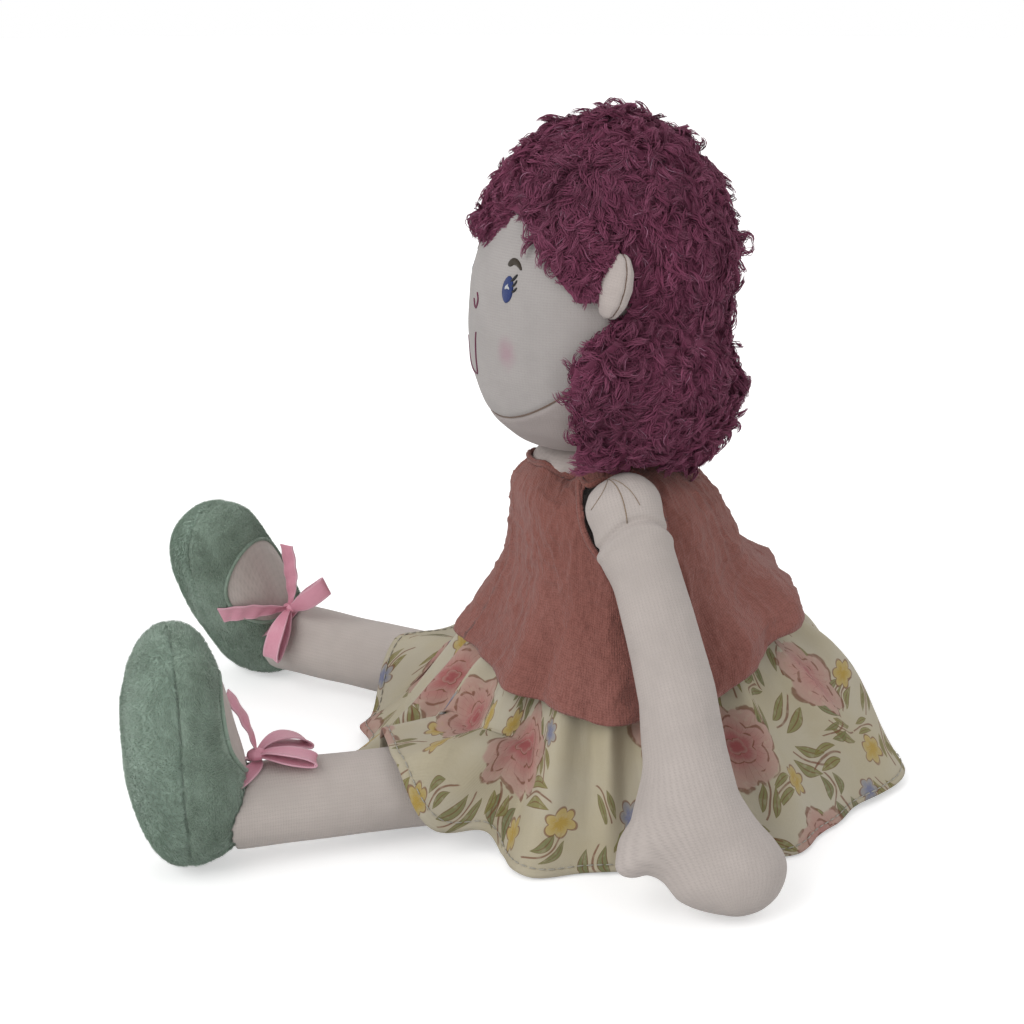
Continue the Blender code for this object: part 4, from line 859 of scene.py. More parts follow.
def skirt_point(turn, share):
    """Return a point of the skirt's outer face, by the turn to the left and the share of the fall."""
    turn_deg = math.degrees(turn)
    turn_deg -= 360 if turn_deg > 180 else 0
    low = SKIRT_LENGTH * read_shares(HEM_SHARES, turn_deg, 2, True) + 0.0006
    height = WAIST_Z + (low - WAIST_Z) * share
    half_width, front, back = torso_half_widths(height / TORSO_HEIGHT, 0.0026)
    hem = SKIRT_LENGTH * read_shares(HEM_SHARES, turn_deg, 1, True)
    across, along = rounded(turn, TORSO_POWER)
    start = Vector((half_width * along, -(front if across > 0 else back) * across, 0))
    end = Vector((hem * math.sin(turn), -hem * math.cos(turn), 0))
    flare = 1.65 if across > 0 else 0.70
    flare += (2.1 - flare) * math.sin(turn) ** 2
    fold = 0.0042 * (math.cos(11 * turn + 0.4) + 0.5 * math.cos(17 * turn + 1.9)) * share**3
    place = start.lerp(end, share**flare) + Vector((math.sin(turn), -math.cos(turn), 0)) * fold
    lap = 0.027 * max(0, across) * (1 - eased((share - 0.7) / 0.3))
    place.z = max(height, lap, leg_tent(place.x, place.y, 1), leg_tent(place.x, place.y, -1))
    return place


def top_point(turn, share, grow=0.0):
    """Return a point of the gauze top: turn from the front to the left, share of the way to the hem."""
    forward = math.cos(turn)
    side = abs(math.sin(turn))
    fall = 0.0668 if forward > 0 else 0.0580
    fall += (0.0765 - fall) * side * side
    dip = 0.0050 * max(0, forward) ** 4
    reach = 0.0462 if forward > 0 else 0.0690
    column = 2 if forward > 0 else 3
    rest = max(0, 1 - share / 0.25)
    folds = 0.0022 * share * share * (math.cos(9 * turn + 0.7) + 0.6 * math.cos(16 * turn + 2.1))
    half_width = 0.0555 * read_shares(TOP_SHARES, share, 1) + folds + grow
    depth = reach * read_shares(TOP_SHARES, share, column) + folds + grow + dip * rest
    across, along = rounded(turn, 2.2)
    corner = math.exp(-((abs(math.atan2(math.sin(turn), forward)) - 0.80) / 0.26) ** 2)
    height = TOP_NECK_Z - dip * rest - fall * share + rest * rest * (
        0.0030 * max(0, forward) ** 6 - 0.0040 * corner
    )
    return Vector((half_width * along, TOP_MIDDLE_Y - depth * across, height))

# Materials

SKIN_FACE = (0.353, 0.328, 0.317)
SKIN_PINK = (0.455, 0.405, 0.376)
ivory = jersey_material("jersey_ivory_knit", SKIN_FACE, 110, 0.5)
pink_arm = jersey_material("jersey_pink_rib", (0.428, 0.380, 0.354), 60, 0.5)
pink_leg = jersey_material("jersey_pink_leg", SKIN_PINK, 66, 0.4)
ear_jersey = jersey_material("jersey_ivory_ear", (0.425, 0.372, 0.348), 46, 0.35)
plush = plush_material()
gauze = gauze_material()
cotton_print = print_material()
cotton = plain_cotton_material()
sole_velour = velour_material("velour_sage_sole", (0.300, 0.395, 0.325), (0.210, 0.285, 0.230), 0.20)
# Painted light: the nap is a lighter copy of the sage velour, making up for the shade that its own fibres
# cast on the shoe.
nap_velour = velour_material("velour_sage_nap", (0.365, 0.480, 0.392), (0.262, 0.352, 0.276), 0.25)
upper_velour = velour_material("velour_sage_upper", (0.270, 0.350, 0.285), (0.170, 0.228, 0.178), 0.30)
satin = satin_material()
shoulder_thread = thread_material("thread_brown_gold", (0.300, 0.215, 0.140))
blue_thread = thread_material("thread_blue", (0.018, 0.040, 0.170))
white_thread = thread_material("thread_white", (0.62, 0.63, 0.64))
black_thread = thread_material("thread_black", (0.012, 0.012, 0.014))
brow_thread = thread_material("thread_brown", (0.038, 0.025, 0.013))
magenta_thread = thread_material("thread_magenta", (0.150, 0.022, 0.062))
seam_thread = thread_material("thread_seam", (0.185, 0.120, 0.085), 0.2)
cream_thread = thread_material("thread_cream", (0.44, 0.42, 0.36), 0.2)


def face_material():
    """The face's knit, with a warmer panel under the chin seam and a soft blush on each cheek."""
    material = jersey_material("jersey_ivory_face", SKIN_FACE, 230, 0.22)
    n = Nodes("", material)
    colour = Wire(n, n.shader.inputs["Base Color"].links[0].from_socket)
    place = n.attribute("fabric")
    _, y, z = n.split(place)
    slope = math.hypot(1, CHIN_SLOPE)
    depth = y * (-CHIN_SLOPE / slope) + z * (1 / slope)
    level = (CHIN_SLOPE * HEAD_HALVES[1] + CHIN_RISE - HEAD_HALVES[2]) / slope
    under = n.fade(depth, level - 0.0004, level + 0.0001) * 0.75
    colour = n.mix(under, colour, n.mix(1.0, colour, (0.93, 0.86, 0.85), "MULTIPLY"))
    seam = n.span(abs(depth - level), 0.0001, 0.0008, 0.35, 0.0)
    colour = n.mix(seam, colour, (0.15, 0.11, 0.09))
    # Painted shade: the face's knit grows darker and warmer towards the back of the head.
    rear = n.span(y, -0.034, 0.010, 0.0, 0.75)
    colour = n.mix(rear, colour, n.mix(1.0, colour, (0.97, 0.90, 0.88), "MULTIPLY"))
    ragged = (n.noise(place, 600.0, 2.0) - 0.5) * 0.0022
    for side in (0.0196, -0.0196):
        squeezed = n.vector("MULTIPLY", place, (1.0, 1.0, 0.72))
        away = n.vector("DISTANCE", squeezed, (side, -0.0368, -0.0146 * 0.72))
        colour = n.mix(n.span(away + ragged, 0.0002, 0.0052, 0.62, 0.0), colour, (0.335, 0.195, 0.235))
    n.put(n.shader.inputs["Base Color"], colour)
    return material


def shaped_arm(place):
    """Fill out the upper arm and cap and draw the thumb forward; places are the arm's own."""
    x, along = place[:, 0].copy(), place[:, 2]
    upper = eased_all((0.082 - along) / 0.034)
    x = x * (1 - 0.03 * upper) + 0.0011 * upper
    cap = eased_all((0.026 - along) / 0.013)
    x -= 0.0028 * cap * eased_all(-x / 0.012)
    hand = eased_all((along - 0.079) / 0.024)
    drawn_in = 0.0062 * hand * eased_all((-x - 0.011) / 0.007)
    drawn_in *= eased_all((along - 0.106) / 0.016)
    x -= 0.0072 * hand * eased_all((-x - 0.004) / 0.011)
    return np.stack([x, place[:, 1], along - drawn_in], axis=1)


def triangles_of(thing):
    """Return an object's triangles as corner numbers, corner places and areas, and its point normals."""
    thing.data.calc_loop_triangles()
    corners = np.empty(len(thing.data.loop_triangles) * 3, np.int32)
    thing.data.loop_triangles.foreach_get("vertices", corners)
    corners = corners.reshape(-1, 3)
    triangles = points_of(thing)[corners]
    sides = triangles[:, 1] - triangles[:, 0], triangles[:, 2] - triangles[:, 0]
    return corners, triangles, 0.5 * np.linalg.norm(np.cross(*sides), axis=1), normals_of(thing)


def fibres(name, middle, first, second, thick, material):
    """Make three-sided fibres along rows of middles from two cross directions and a thickness at each."""
    count, steps = middle.shape[:2]
    spots = np.empty((count, steps, 3, 3))
    for turn in range(3):
        angle = TURN * turn / 3
        spots[:, :, turn] = middle + (first * math.cos(angle) + second * math.sin(angle)) * thick[:, :, None]
    index = np.arange(count * steps * 3).reshape(count, steps, 3)
    quads = []
    for turn in range(3):
        here, after = index[:, :, turn], index[:, :, (turn + 1) % 3]
        quads.append(np.stack([here[:, :-1], after[:, :-1], after[:, 1:], here[:, 1:]], axis=-1))
    quads = np.concatenate(quads).reshape(-1)
    ends = np.concatenate([index[:, 0, ::-1], index[:, -1]]).reshape(-1)
    sizes = np.concatenate([np.full(len(quads) // 4, 4), np.full(len(ends) // 3, 3)])
    return mesh_from_arrays(name, spots.reshape(-1, 3), np.concatenate([quads, ends]), sizes, material)


def napped(name, thing, material, body, density, local, skip, seed):
    """Stand a short soft nap on a velour form, brushed in slowly turning directions."""
    draws = np.random.default_rng(seed)
    corners, triangles, areas, slopes = triangles_of(thing)
    chosen = draws.choice(len(areas), int(areas.sum() * density), p=areas / areas.sum())
    share = draws.dirichlet((1, 1, 1), len(chosen))
    roots = (triangles[chosen] * share[:, :, None]).sum(axis=1)
    normals = slopes[corners[chosen]].mean(axis=1)
    if skip is not None:
        place = local(roots) - local(np.array([list(skip)]))
        inside = (place[:, 0] / INSTEP_HALVES[0]) ** 2 + (place[:, 2] / INSTEP_HALVES[1]) ** 2 < 1.1
        kept = ~(inside & (local(roots)[:, 1] < -0.004))
        roots, normals = roots[kept], normals[kept]
    count = len(roots)
    brush = np.array([noise.noise_vector(Vector(root) * 45 + Vector((seed, 0, 0))) for root in roots]) * 1.6
    brush += draws.normal(0, 0.30, (count, 3)) + np.array([0, 0, -0.2])
    lean = brush - normals * (brush * normals).sum(axis=1)[:, None]
    lean /= np.linalg.norm(lean, axis=1)[:, None] + 1e-9
    length = draws.uniform(0.0009, 0.0019, count)
    steps = np.array([0.0, 0.55, 1.0])
    ahead = 0.85 * steps**1.3
    rise = 0.62 * steps - 0.12
    way_out = lean[:, None] * ahead[None, :, None] + normals[:, None] * rise[None, :, None]
    middle = roots[:, None] + way_out * length[:, None, None]
    across = np.cross(lean, normals)
    thick = draws.uniform(0.00007, 0.00012, count)
    taper = np.array([1.0, 0.8, 0.2])
    thick = thick[:, None] * taper[None, :]
    nap = fibres(name, middle, across[:, None], normals[:, None], thick, material)
    put_vectors(nap, "fabric", local(points_of(nap)))
    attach(nap, body)


ARM_CREASE = 0.0066
RIGHT_SOLE_FULLNESS = 0.27

# Stuffed body

X, Y, Z = Vector((1, 0, 0)), Vector((0, 1, 0)), Vector((0, 0, 1))

torso = soft_copy("torso_stuffed", ["torso"], ivory, 0.0015, 14, frame_of((0, 0, 0), (X, Y, Z)))
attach(torso, "torso")

neck = soft_copy("neck_stuffed", ["neck"], ear_jersey, 0.0008, 8, frame_of((0, NECK_Y, 0), (X, Y, Z)))
swell(neck, np.full(len(neck.data.vertices), 0.0016))
spots = points_of(neck)
forward = np.clip((NECK_Y + 0.002 - spots[:, 1]) / 0.012, 0, 1)
low = eased_all((0.1285 - spots[:, 2]) / 0.0085)
spots[:, 1] -= 0.0060 * forward * low
spots[:, 0] *= 1 + 0.12 * low
put_points(neck, spots)
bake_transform(neck)

turned = Matrix.Rotation(HEAD_TURN, 3, "Z")
head_axes = (turned @ X, turned @ Y, Z)
head_local = frame_of(in_head((0, 0, 0)), head_axes)
head = soft_copy("head_stuffed", ["head_face", "chin_panel"], face_material(), 0.0008, 70, head_local)
local = head_local(points_of(head))
slope_length = math.hypot(1, CHIN_SLOPE)
chin_depth = local[:, 2] - CHIN_SLOPE * (local[:, 1] + HEAD_HALVES[1]) - CHIN_RISE + HEAD_HALVES[2]
chin_depth /= slope_length
groove = -0.0006 * np.exp(-((chin_depth / 0.0009) ** 2)) + 0.0004 * np.exp(-((chin_depth / 0.0035) ** 2))
swell(head, groove + 0.00015 * wrinkles(local, 90, 1))
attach(head, "head")
head_tree = tree_of(head)

for side, sign in SIDES:
    middle = in_head((sign * HEAD_HALVES[0], -0.008, 0.009))
    lean = math.radians(13)
    ear_axes = (
        turned @ X, turned @ Vector((0, math.cos(lean), -math.sin(lean))),
        turned @ Vector((0, math.sin(lean), math.cos(lean)))
    )
    ear = soft_copy(
        side + "_ear_stuffed", [side + "_ear"], ear_jersey, 0.0005, 16, frame_of(middle, ear_axes)
    )
    place = frame_of(middle, ear_axes)(points_of(ear))
    ear_groove = -0.0007 * np.exp(-((place[:, 1] / 0.0006) ** 2)) + 0.0003 * np.exp(
        -((place[:, 1] / 0.002) ** 2)
    )
    swell(ear, ear_groove)
    ear_tree = tree_of(ear)
    rim = []
    for step in range(41):
        turn = math.radians(-100 + 200 * step / 40)
        out = ear_axes[0] * (sign * math.cos(turn)) + ear_axes[2] * math.sin(turn)
        found = ear_tree.ray_cast(middle + out * 0.04, -out)
        if found[0]:
            rim.append(found[0])
    ear_seam = gathered_mesh(
        side + "_ear_seam_thread", [tube(even_line(rim, 0.0008), 0.00022, 5)], seam_thread
    )
    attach(ear_seam, "head")
    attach(ear, "head")

    direction, rear, outward = arm_axes(sign)
    arm_local = frame_of(shoulder_place(sign), (rear, outward, direction))
    cap_line = shoulder_place(sign)
    arm = soft_copy(
        side + "_arm_stuffed", [side + "_shoulder", side + "_arm"], pink_arm, 0.0008, 14, arm_local
    )
    shaped = shaped_arm(arm_local(points_of(arm))) @ np.array([list(rear), list(outward), list(direction)])
    put_points(arm, shaped + np.array(list(shoulder_place(sign))))
    place = arm_local(points_of(arm))
    soften(arm, eased_all((place[:, 2] - 0.086) / 0.02), 40)
    soften(arm, eased_all((place[:, 2] + 0.004) / 0.006) * eased_all((0.026 - place[:, 2]) / 0.010), 60)
    put_vectors(arm, "fabric", arm_local(points_of(arm)))
    place = arm_local(points_of(arm))
    fold = place[:, 2] - ARM_CREASE - 30 * place[:, 0] ** 2
    crease = -0.0012 * np.exp(-((fold / 0.0012) ** 2)) + 0.0006 * np.exp(-(((fold - 0.003) / 0.0016) ** 2))
    swell(arm, crease + 0.00035 * wrinkles(place * np.array([1, 1, 0.45]), 130, 2 + sign))
    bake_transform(arm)

    direction, axis, level = leg_axes(sign)
    leg_local = frame_of(hip_place(sign), (axis, direction.cross(axis), direction))
    leg = soft_copy(side + "_leg_stuffed", [side + "_leg"], pink_leg, 0.0009, 16, leg_local)
    place = leg_local(points_of(leg))
    swell(leg, 0.0005 * wrinkles(place * np.array([1, 1, 0.6]), 85, 5 + sign))
    foot, ahead, outward, up = ankle_frame(sign)
    shoe_local = frame_of(foot + ahead * SHOE_SEAM_AHEAD, (outward, ahead, up))
    sole = soft_copy(side + "_shoe_sole_pillow", [side + "_shoe_sole"], sole_velour, 0.0007, 26, shoe_local)
    whole_upper = [side + "_shoe_upper", side + "_instep"]
    upper = soft_copy(side + "_shoe_upper_pillow", whole_upper, upper_velour, 0.0007, 20, shoe_local)
    for piece, slot, fill in (
        (leg, "jersey_pink", 0.7), (sole, "velour_sage", 0.8), (upper, "velour_sage", 0.7)
    ):
        if slot == "velour_sage":
            place = shoe_local(points_of(piece))
            if sign < 0:
                moved = np.maximum(place[:, 1], 0) * RIGHT_SOLE_FULLNESS
                lifted = -0.0013 * eased_all((place[:, 2] - 0.050) / 0.030)
            else:
                low = eased_all((0.034 - place[:, 2]) / 0.034)
                moved = -0.07 * np.maximum(place[:, 1], 0) - 0.0012 * low * (place[:, 1] > -0.004)
                lifted = 0.0024 * low
            shift = moved[:, None] * np.array(list(ahead)) + lifted[:, None] * np.array(list(up))
            put_points(piece, points_of(piece) + shift)
            swell(
                piece, 0.0006 * wrinkles(place, 70, 9 + sign) + 0.00016 * wrinkles(place, 620, 4) + 0.0003
            )
        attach(piece, side + "_leg")

    # the jersey foot that shows in the shoe's opening, and the opening's rolled edge
    pillow = tree_of(upper)
    middle = foot + ahead * SHOE_SEAM_AHEAD + up * (INSTEP_MIDDLE_SHARE * SHOE_HEIGHT)
    rings = []
    for row in range(25):
        reach = row / 24
        line = []
        for step in range(72):
            turn = TURN * step / 72
            beside = outward * (
                (INSTEP_HALVES[0] + (0.0016 if sign < 0 else -0.0014)) * reach * math.cos(turn)
            )
            spot = middle + beside + up * (INSTEP_HALVES[1] * reach * math.sin(turn))
            hit = pillow.ray_cast(spot - ahead * 0.06, ahead)[0]
            hit = hit or pillow.find_nearest(spot - ahead * 0.022)[0]
            line.append(list(hit - ahead * (0.0003 + 0.0007 * (1 - reach**4))))
        rings.append(line)
    rings = np.array(rings)
    for _ in range(8):
        beside = np.roll(rings, 1, axis=1) + np.roll(rings, -1, axis=1)
        rings[1:-1] = (rings[:-2] + rings[2:]) / 4 + beside[1:-1] / 4
        rings[0] = rings[1].mean(axis=0)
        rings[-1] = (np.roll(rings[-1], 1, axis=0) + np.roll(rings[-1], -1, axis=0)) / 4 + rings[-1] / 2
    under = rings + np.array(list(ahead)) * 0.0012
    spots = np.concatenate([rings.reshape(-1, 3), under.reshape(-1, 3)])
    faces = []
    for outer in loft_faces(25, 72):
        faces += [outer, tuple(25 * 72 + index for index in reversed(outer))]
    for step in range(72):
        after = (step + 1) % 72
        faces.append((24 * 72 + step, 24 * 72 + after, 49 * 72 + after, 49 * 72 + step))
    instep = mesh_from(side + "_instep_jersey", spots, faces, pink_leg)
    mesh = bmesh.new()
    mesh.from_mesh(instep.data)
    bmesh.ops.remove_doubles(mesh, verts=mesh.verts, dist=1e-6)
    bmesh.ops.recalc_face_normals(mesh, faces=mesh.faces)
    mesh.to_mesh(instep.data)
    mesh.free()
    instep.data.shade_smooth()
    put_vectors(instep, "fabric", leg_local(points_of(instep)))
    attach(instep, side + "_leg")
    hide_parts(side + "_instep")
    edge_line = [Vector(point) - ahead * 0.0001 for point in rings[-1]]
    edge = gathered_mesh(
        side + "_shoe_rolled_edge", [tube(edge_line + edge_line[:1], 0.0008, 8)], upper_velour
    )
    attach(edge, side + "_leg")
    for piece in (sole, upper):
        skip = middle - ahead * 0.02 if piece is upper else None
        napped(
            piece.name.replace("pillow", "nap"), piece, nap_velour, side + "_leg", NAP_DENSITY, shoe_local,
            skip, 40 + sign
        )


# Embroidered face


def on_head(side, front, height):
    """Return the place on the head's surface nearest to a place given about its middle, and its normal."""
    place, normal, _, _ = head_tree.find_nearest(in_head((side, -front, height)))
    return place, normal


def satin_stroke(line, widths, thick):
    """Return the points and faces of an embroidered stroke that follows the head's surface.

    The line holds places about the head's middle: side, front and height.
    """
    spots = []
    places = [on_head(*point) for point in line]
    ring = ((-1.0, 0.0), (-0.75, 0.62), (-0.3, 0.95), (0.3, 0.95), (0.75, 0.62), (1.0, 0.0), (0.0, -1.5))
    for step, (place, normal) in enumerate(places):
        run = (places[min(len(places) - 1, step + 1)][0] - places[max(0, step - 1)][0]).normalized()
        across = normal.cross(run).normalized()
        for beside, rise in ring:
            spot = place + across * (widths[step] * beside)
            ground, slope, _, _ = head_tree.find_nearest(spot)
            spots.append(ground + slope * (thick * rise))
    return spots, loft_faces(len(places), len(ring)) + end_caps(len(places), len(ring))


def curve_through(points, count):
    """Return places along a smooth curve through a few points."""
    known = np.array(points, float)
    ends = np.vstack([2 * known[0] - known[1], known, 2 * known[-1] - known[-2]])
    found = []
    for way in np.linspace(0, len(known) - 1 - 1e-6, count):
        step = int(way)
        t = way - step
        a, b, c, d = ends[step : step + 4]
        found.append(
            0.5 * (
                2 * b + (c - a) * t + (2 * a - 5 * b + 4 * c - d) * t * t + (3 * b - 3 * c + d - a) * t**3
            )
        )
    return np.array(found)


def stroke(points, width, count=16, thick=0.00028, ends=0.35):
    """Return a stroke through places in millimetres, narrower at its ends."""
    line = curve_through(np.array(points) / 1000, count)
    full = [math.sin(math.pi * step / (count - 1)) ** 0.5 for step in range(count)]
    profile = [width * (ends + (1 - ends) * share) for share in full]
    return satin_stroke(line, profile, thick)


def on_side(points, sign):
    """Put places of the face, in millimetres, on one side of it."""
    return np.array(points) * (sign, 1, 1)


face_pieces = []
for side, sign in SIDES:
    eye_widths = [0.0024 * math.sqrt(max(0.02, 1 - (2 * step / 21 - 1) ** 2)) for step in range(22)]
    eye = satin_stroke(curve_through(on_side(EYE_PATH, sign) / 1000, 22), eye_widths, 0.00045)
    paths = [curve_through(on_side(path, sign) / 1000, 6) for path, _ in GLINTS]
    glints = [satin_stroke(path, wide, 0.0007) for path, (_, wide) in zip(paths, GLINTS)]
    lashes = [stroke(on_side(path, sign), width, 8, 0.0004, 0.3) for path, width in LASHES]
    brow_widths = [BROW_WIDTH * share for share in BROW_SHARES]
    brow = satin_stroke(
        curve_through(on_side(BROW_PATH, sign) / 1000, len(brow_widths)), brow_widths, 0.0004
    )
    face_pieces.append(gathered_mesh(side + "_eye", [eye], blue_thread))
    face_pieces.append(gathered_mesh(side + "_eye_glint", glints, white_thread))
    face_pieces.append(gathered_mesh(side + "_lashes", lashes, black_thread))
    face_pieces.append(gathered_mesh(side + "_brow", [brow], brow_thread))
nose = [stroke(NOSE_HOOK, 0.00050, 12, 0.0004, 0.25), stroke(NOSE_END, 0.00035, 8, 0.0004, 0.3)]
face_pieces.append(gathered_mesh("nose_mark", nose, magenta_thread))
smile = stroke(SMILE_PATH, 0.00040, 60, 0.0004, 0.5)
face_pieces.append(gathered_mesh("smile", [smile], magenta_thread))
for piece in face_pieces:
    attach(piece, "head")


# Plush hair


def scattered(thing, density, draws):
    """Return evenly scattered places and normals on the side of a form that faces away from the head."""
    corners, triangles, areas, slopes = triangles_of(thing)
    normals = slopes[corners].mean(axis=1)
    outward = triangles.mean(axis=1) - np.array(in_head((0, 0, 0)))
    outward[:, 2] *= 0.6
    outward /= np.linalg.norm(outward, axis=1)[:, None]
    kept = (normals * outward).sum(axis=1) > -0.15
    triangles, normals, areas = triangles[kept], normals[kept], areas[kept]
    count = int(areas.sum() * density)
    chosen = draws.choice(len(areas), count, p=areas / areas.sum())
    first, second = draws.random(count), draws.random(count)
    over = first + second > 1
    first[over], second[over] = 1 - first[over], 1 - second[over]
    picked = triangles[chosen]
    roots = picked[:, 0] + (picked[:, 1] - picked[:, 0]) * first[:, None]
    roots += (picked[:, 2] - picked[:, 0]) * second[:, None]
    normals = normals[chosen]
    return roots, normals / np.linalg.norm(normals, axis=1)[:, None]


def curled_locks(name, roots, normals, combing, reach, draws, flat=1.0, edge=None):
    """Grow curled locks of fine fibres from roots and return them as one object.

    Each lock lies along the cloth, bends as an arc, and its fibres twist together towards its tip. A root
    with an edge value near 1 gets a short lock that is combed back from the face.
    """
    count = len(roots)
    edge = np.zeros(count) if edge is None else edge
    flow = np.array([noise.noise_vector(Vector(root) * 70) for root in roots]) * 1.3
    flow += np.array([noise.noise_vector(Vector(root) * 210) for root in roots]) * 0.6
    flow += draws.normal(0, 0.35, (count, 3)) + combing
    flow += edge[:, None] * np.array([0, 2.4, 0.2])
    tangent = flow - normals * (flow * normals).sum(axis=1)[:, None]
    tangent /= np.linalg.norm(tangent, axis=1)[:, None] + 1e-9
    beside = np.cross(normals, tangent)
    outward = roots - np.array(list(in_head((0, 0, 0))))
    outward /= np.linalg.norm(outward, axis=1)[:, None]
    facing = (normals * outward).sum(axis=1)
    length = draws.uniform(reach[0], reach[1], count) * np.clip(0.45 + 0.7 * facing, 0.45, 1) * (
        1 - 0.5 * edge
    )
    bend = draws.uniform(0.7, 2.5, count) * np.where(draws.random(count) < 0.5, -1, 1)
    lift = draws.uniform(0.0010, 0.0026, count)
    loose = draws.random(count) < 0.14
    lift[loose] = draws.uniform(0.0028, 0.0042, loose.sum())
    clump = np.array([noise.noise(Vector(root) * 120) for root in roots])
    lift *= flat * (1 - 0.4 * edge) * np.clip(1 + 1.7 * clump, 0.5, 2.3)
    way = np.linspace(0, 1, LOCK_STEPS)
    angle = bend[:, None] * (way[None, :] - 0.3)
    ahead = np.cumsum(np.cos(angle), axis=1) * (length[:, None] / LOCK_STEPS)
    aside = np.cumsum(np.sin(angle), axis=1) * (length[:, None] / LOCK_STEPS)
    arch = 0.08 + np.where(loose, 0.50, 0.74)[:, None] * way[None, :]
    rise = lift[:, None] * np.sin(math.pi * arch) - 0.0006
    middle = roots[:, None] + tangent[:, None] * ahead[:, :, None] + beside[:, None] * aside[:, :, None]
    middle += normals[:, None] * rise[:, :, None]

    total = count * FIBRES_IN_LOCK
    middle = np.repeat(middle, FIBRES_IN_LOCK, axis=0)
    beside = np.repeat(beside, FIBRES_IN_LOCK, axis=0)
    tangent = np.repeat(tangent, FIBRES_IN_LOCK, axis=0)
    upward = np.repeat(normals, FIBRES_IN_LOCK, axis=0)
    start = draws.uniform(0, TURN, total)
    spread = 0.0015 * np.sqrt(draws.random(total))
    winding = np.repeat(draws.uniform(1.5, 4.5, count), FIBRES_IN_LOCK)
    twist = start[:, None] + winding[:, None] * way[None, :]
    close = spread[:, None] * (1 - 0.62 * way[None, :] ** 1.3)
    wave = 0.00022 * np.sin(
        draws.uniform(0, 6.28, total)[:, None] + way[None, :] * draws.uniform(5, 11, total)[:, None]
    )
    middle = middle + beside[:, None] * (close * np.cos(twist) + wave)[:, :, None]
    middle += upward[:, None] * (0.75 * close * np.sin(twist))[:, :, None]
    slip = draws.uniform(-0.0012, 0.0012, total)
    middle += tangent[:, None] * slip[:, None, None]
    thick = draws.uniform(0.00013, 0.00021, total)
    tone = np.clip(
        np.repeat(draws.normal(0.40, 0.20, count), FIBRES_IN_LOCK) + draws.normal(0, 0.13, total), 0, 1
    )
    # Painted highlights: a few thinner fibres get a tone above 1, which the pile's material paints pale as
    # glints.
    glint_fibres = draws.random(total) < 0.035
    tone[glint_fibres] = draws.uniform(1.2, 1.9, glint_fibres.sum())
    thick[glint_fibres] *= 0.75

    runs = np.gradient(middle, axis=1)
    runs /= np.linalg.norm(runs, axis=2)[:, :, None] + 1e-12
    first = np.cross(runs, upward[:, None, :])
    first /= np.linalg.norm(first, axis=2)[:, :, None] + 1e-12
    second = np.cross(runs, first)
    taper = np.interp(way, (0, 0.15, 0.7, 1), (0.8, 1.0, 0.85, 0.25))
    pile = fibres(name, middle, first, second, thick[:, None] * taper[None, :], plush)
    put_values(pile, "tone", np.repeat(tone, LOCK_STEPS * 3))
    put_values(pile, "tip", np.tile(np.repeat(way, 3), total))
    put_vectors(pile, "fabric", head_local(points_of(pile)))
    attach(pile, "head")
    return pile


def over_edge(places):
    """Return how far head places lie above the hair's front edge, a great way off the forehead."""
    turns = np.degrees(np.arctan2(places[:, 0], -places[:, 1]))
    table = np.array(HAIR_EDGE)
    gap = places[:, 2] - np.interp(turns, table[:, 0], table[:, 1])
    off = (turns < 1) | (turns > 80) | (places[:, 2] < -0.004)
    return np.where(off, 1.0, gap)


backing = soft_copy("hair_backing", ["hair_crown", "hair_bob"], plush, 0.0013, 5, head_local)
swell(backing, np.full(len(backing.data.vertices), -0.0016))
trim = np.clip(-over_edge(head_local(points_of(backing))) / 0.0015, 0, 1)
inward = np.array(list(in_head((0, 0, 0)))) - points_of(backing)
inward /= np.linalg.norm(inward, axis=1)[:, None]
put_points(backing, points_of(backing) + inward * (0.0065 * trim[:, None]))
# Painted shade: the smooth backing takes the locks' dark root colour, darkest where it faces the head, so it
# reads as the shade between the locks.
rim = np.clip(((normals_of(backing) * -inward).sum(axis=1) - 0.35) / 0.45, 0, 1)
put_values(backing, "tone", 0.3 * rim - 0.35 * (1 - rim))
put_values(backing, "tip", 0.25 * rim)
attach(backing, "head")

draws = np.random.default_rng(21)
roots, slopes = scattered(backing, LOCK_DENSITY, draws)
crown_tree, bob_tree = (tree_of(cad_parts[node]) for node in ("hair_crown", "hair_bob"))
kept = over_edge(head_local(roots)) > 0.0008
roots, slopes = roots[kept], slopes[kept]
in_bob = np.array(
    [bob_tree.find_nearest(Vector(root))[3] < crown_tree.find_nearest(Vector(root))[3] for root in roots]
)
places = head_local(roots)
turns_deg = np.degrees(np.arctan2(places[:, 0], -places[:, 1]))
table = np.array(HAIRLINE_SHARES)
above = places[:, 2] - np.interp(turns_deg, table[:, 0], table[:, 1]) * HEAD_HALVES[2]
above = np.minimum(above, over_edge(places))
near_line = np.clip(1 - above / 0.008, 0, 1) * (np.abs(turns_deg) < 78)
near_front = 0.35 * np.clip((66 - np.abs(turns_deg)) / 9, 0, 1)
down = np.array([0, 0, -0.55])
for name, chosen, combing, reach, edge in (
    ("hair_crown_pile", ~in_bob, down, (0.0065, 0.0105), near_line),
    ("hair_bob_pile", in_bob, down * 0.5, (0.0060, 0.0095), near_front),
):
    curled_locks(name, roots[chosen], slopes[chosen], combing, reach, draws, 0.9, edge[chosen])

# the fringe hangs over the far side of the forehead, and a short tuft lies before each ear
fringe = []


def add_lock(side, turn, level, lift, combing, flat):
    """Keep a lock's root on the head, raised off it, with the way it is combed and how full it stands."""
    spot, slope = on_head(side * math.sin(turn), abs(side) * math.cos(turn), level)
    fringe.append((list(spot + slope * lift), list(slope), list(combing), flat))


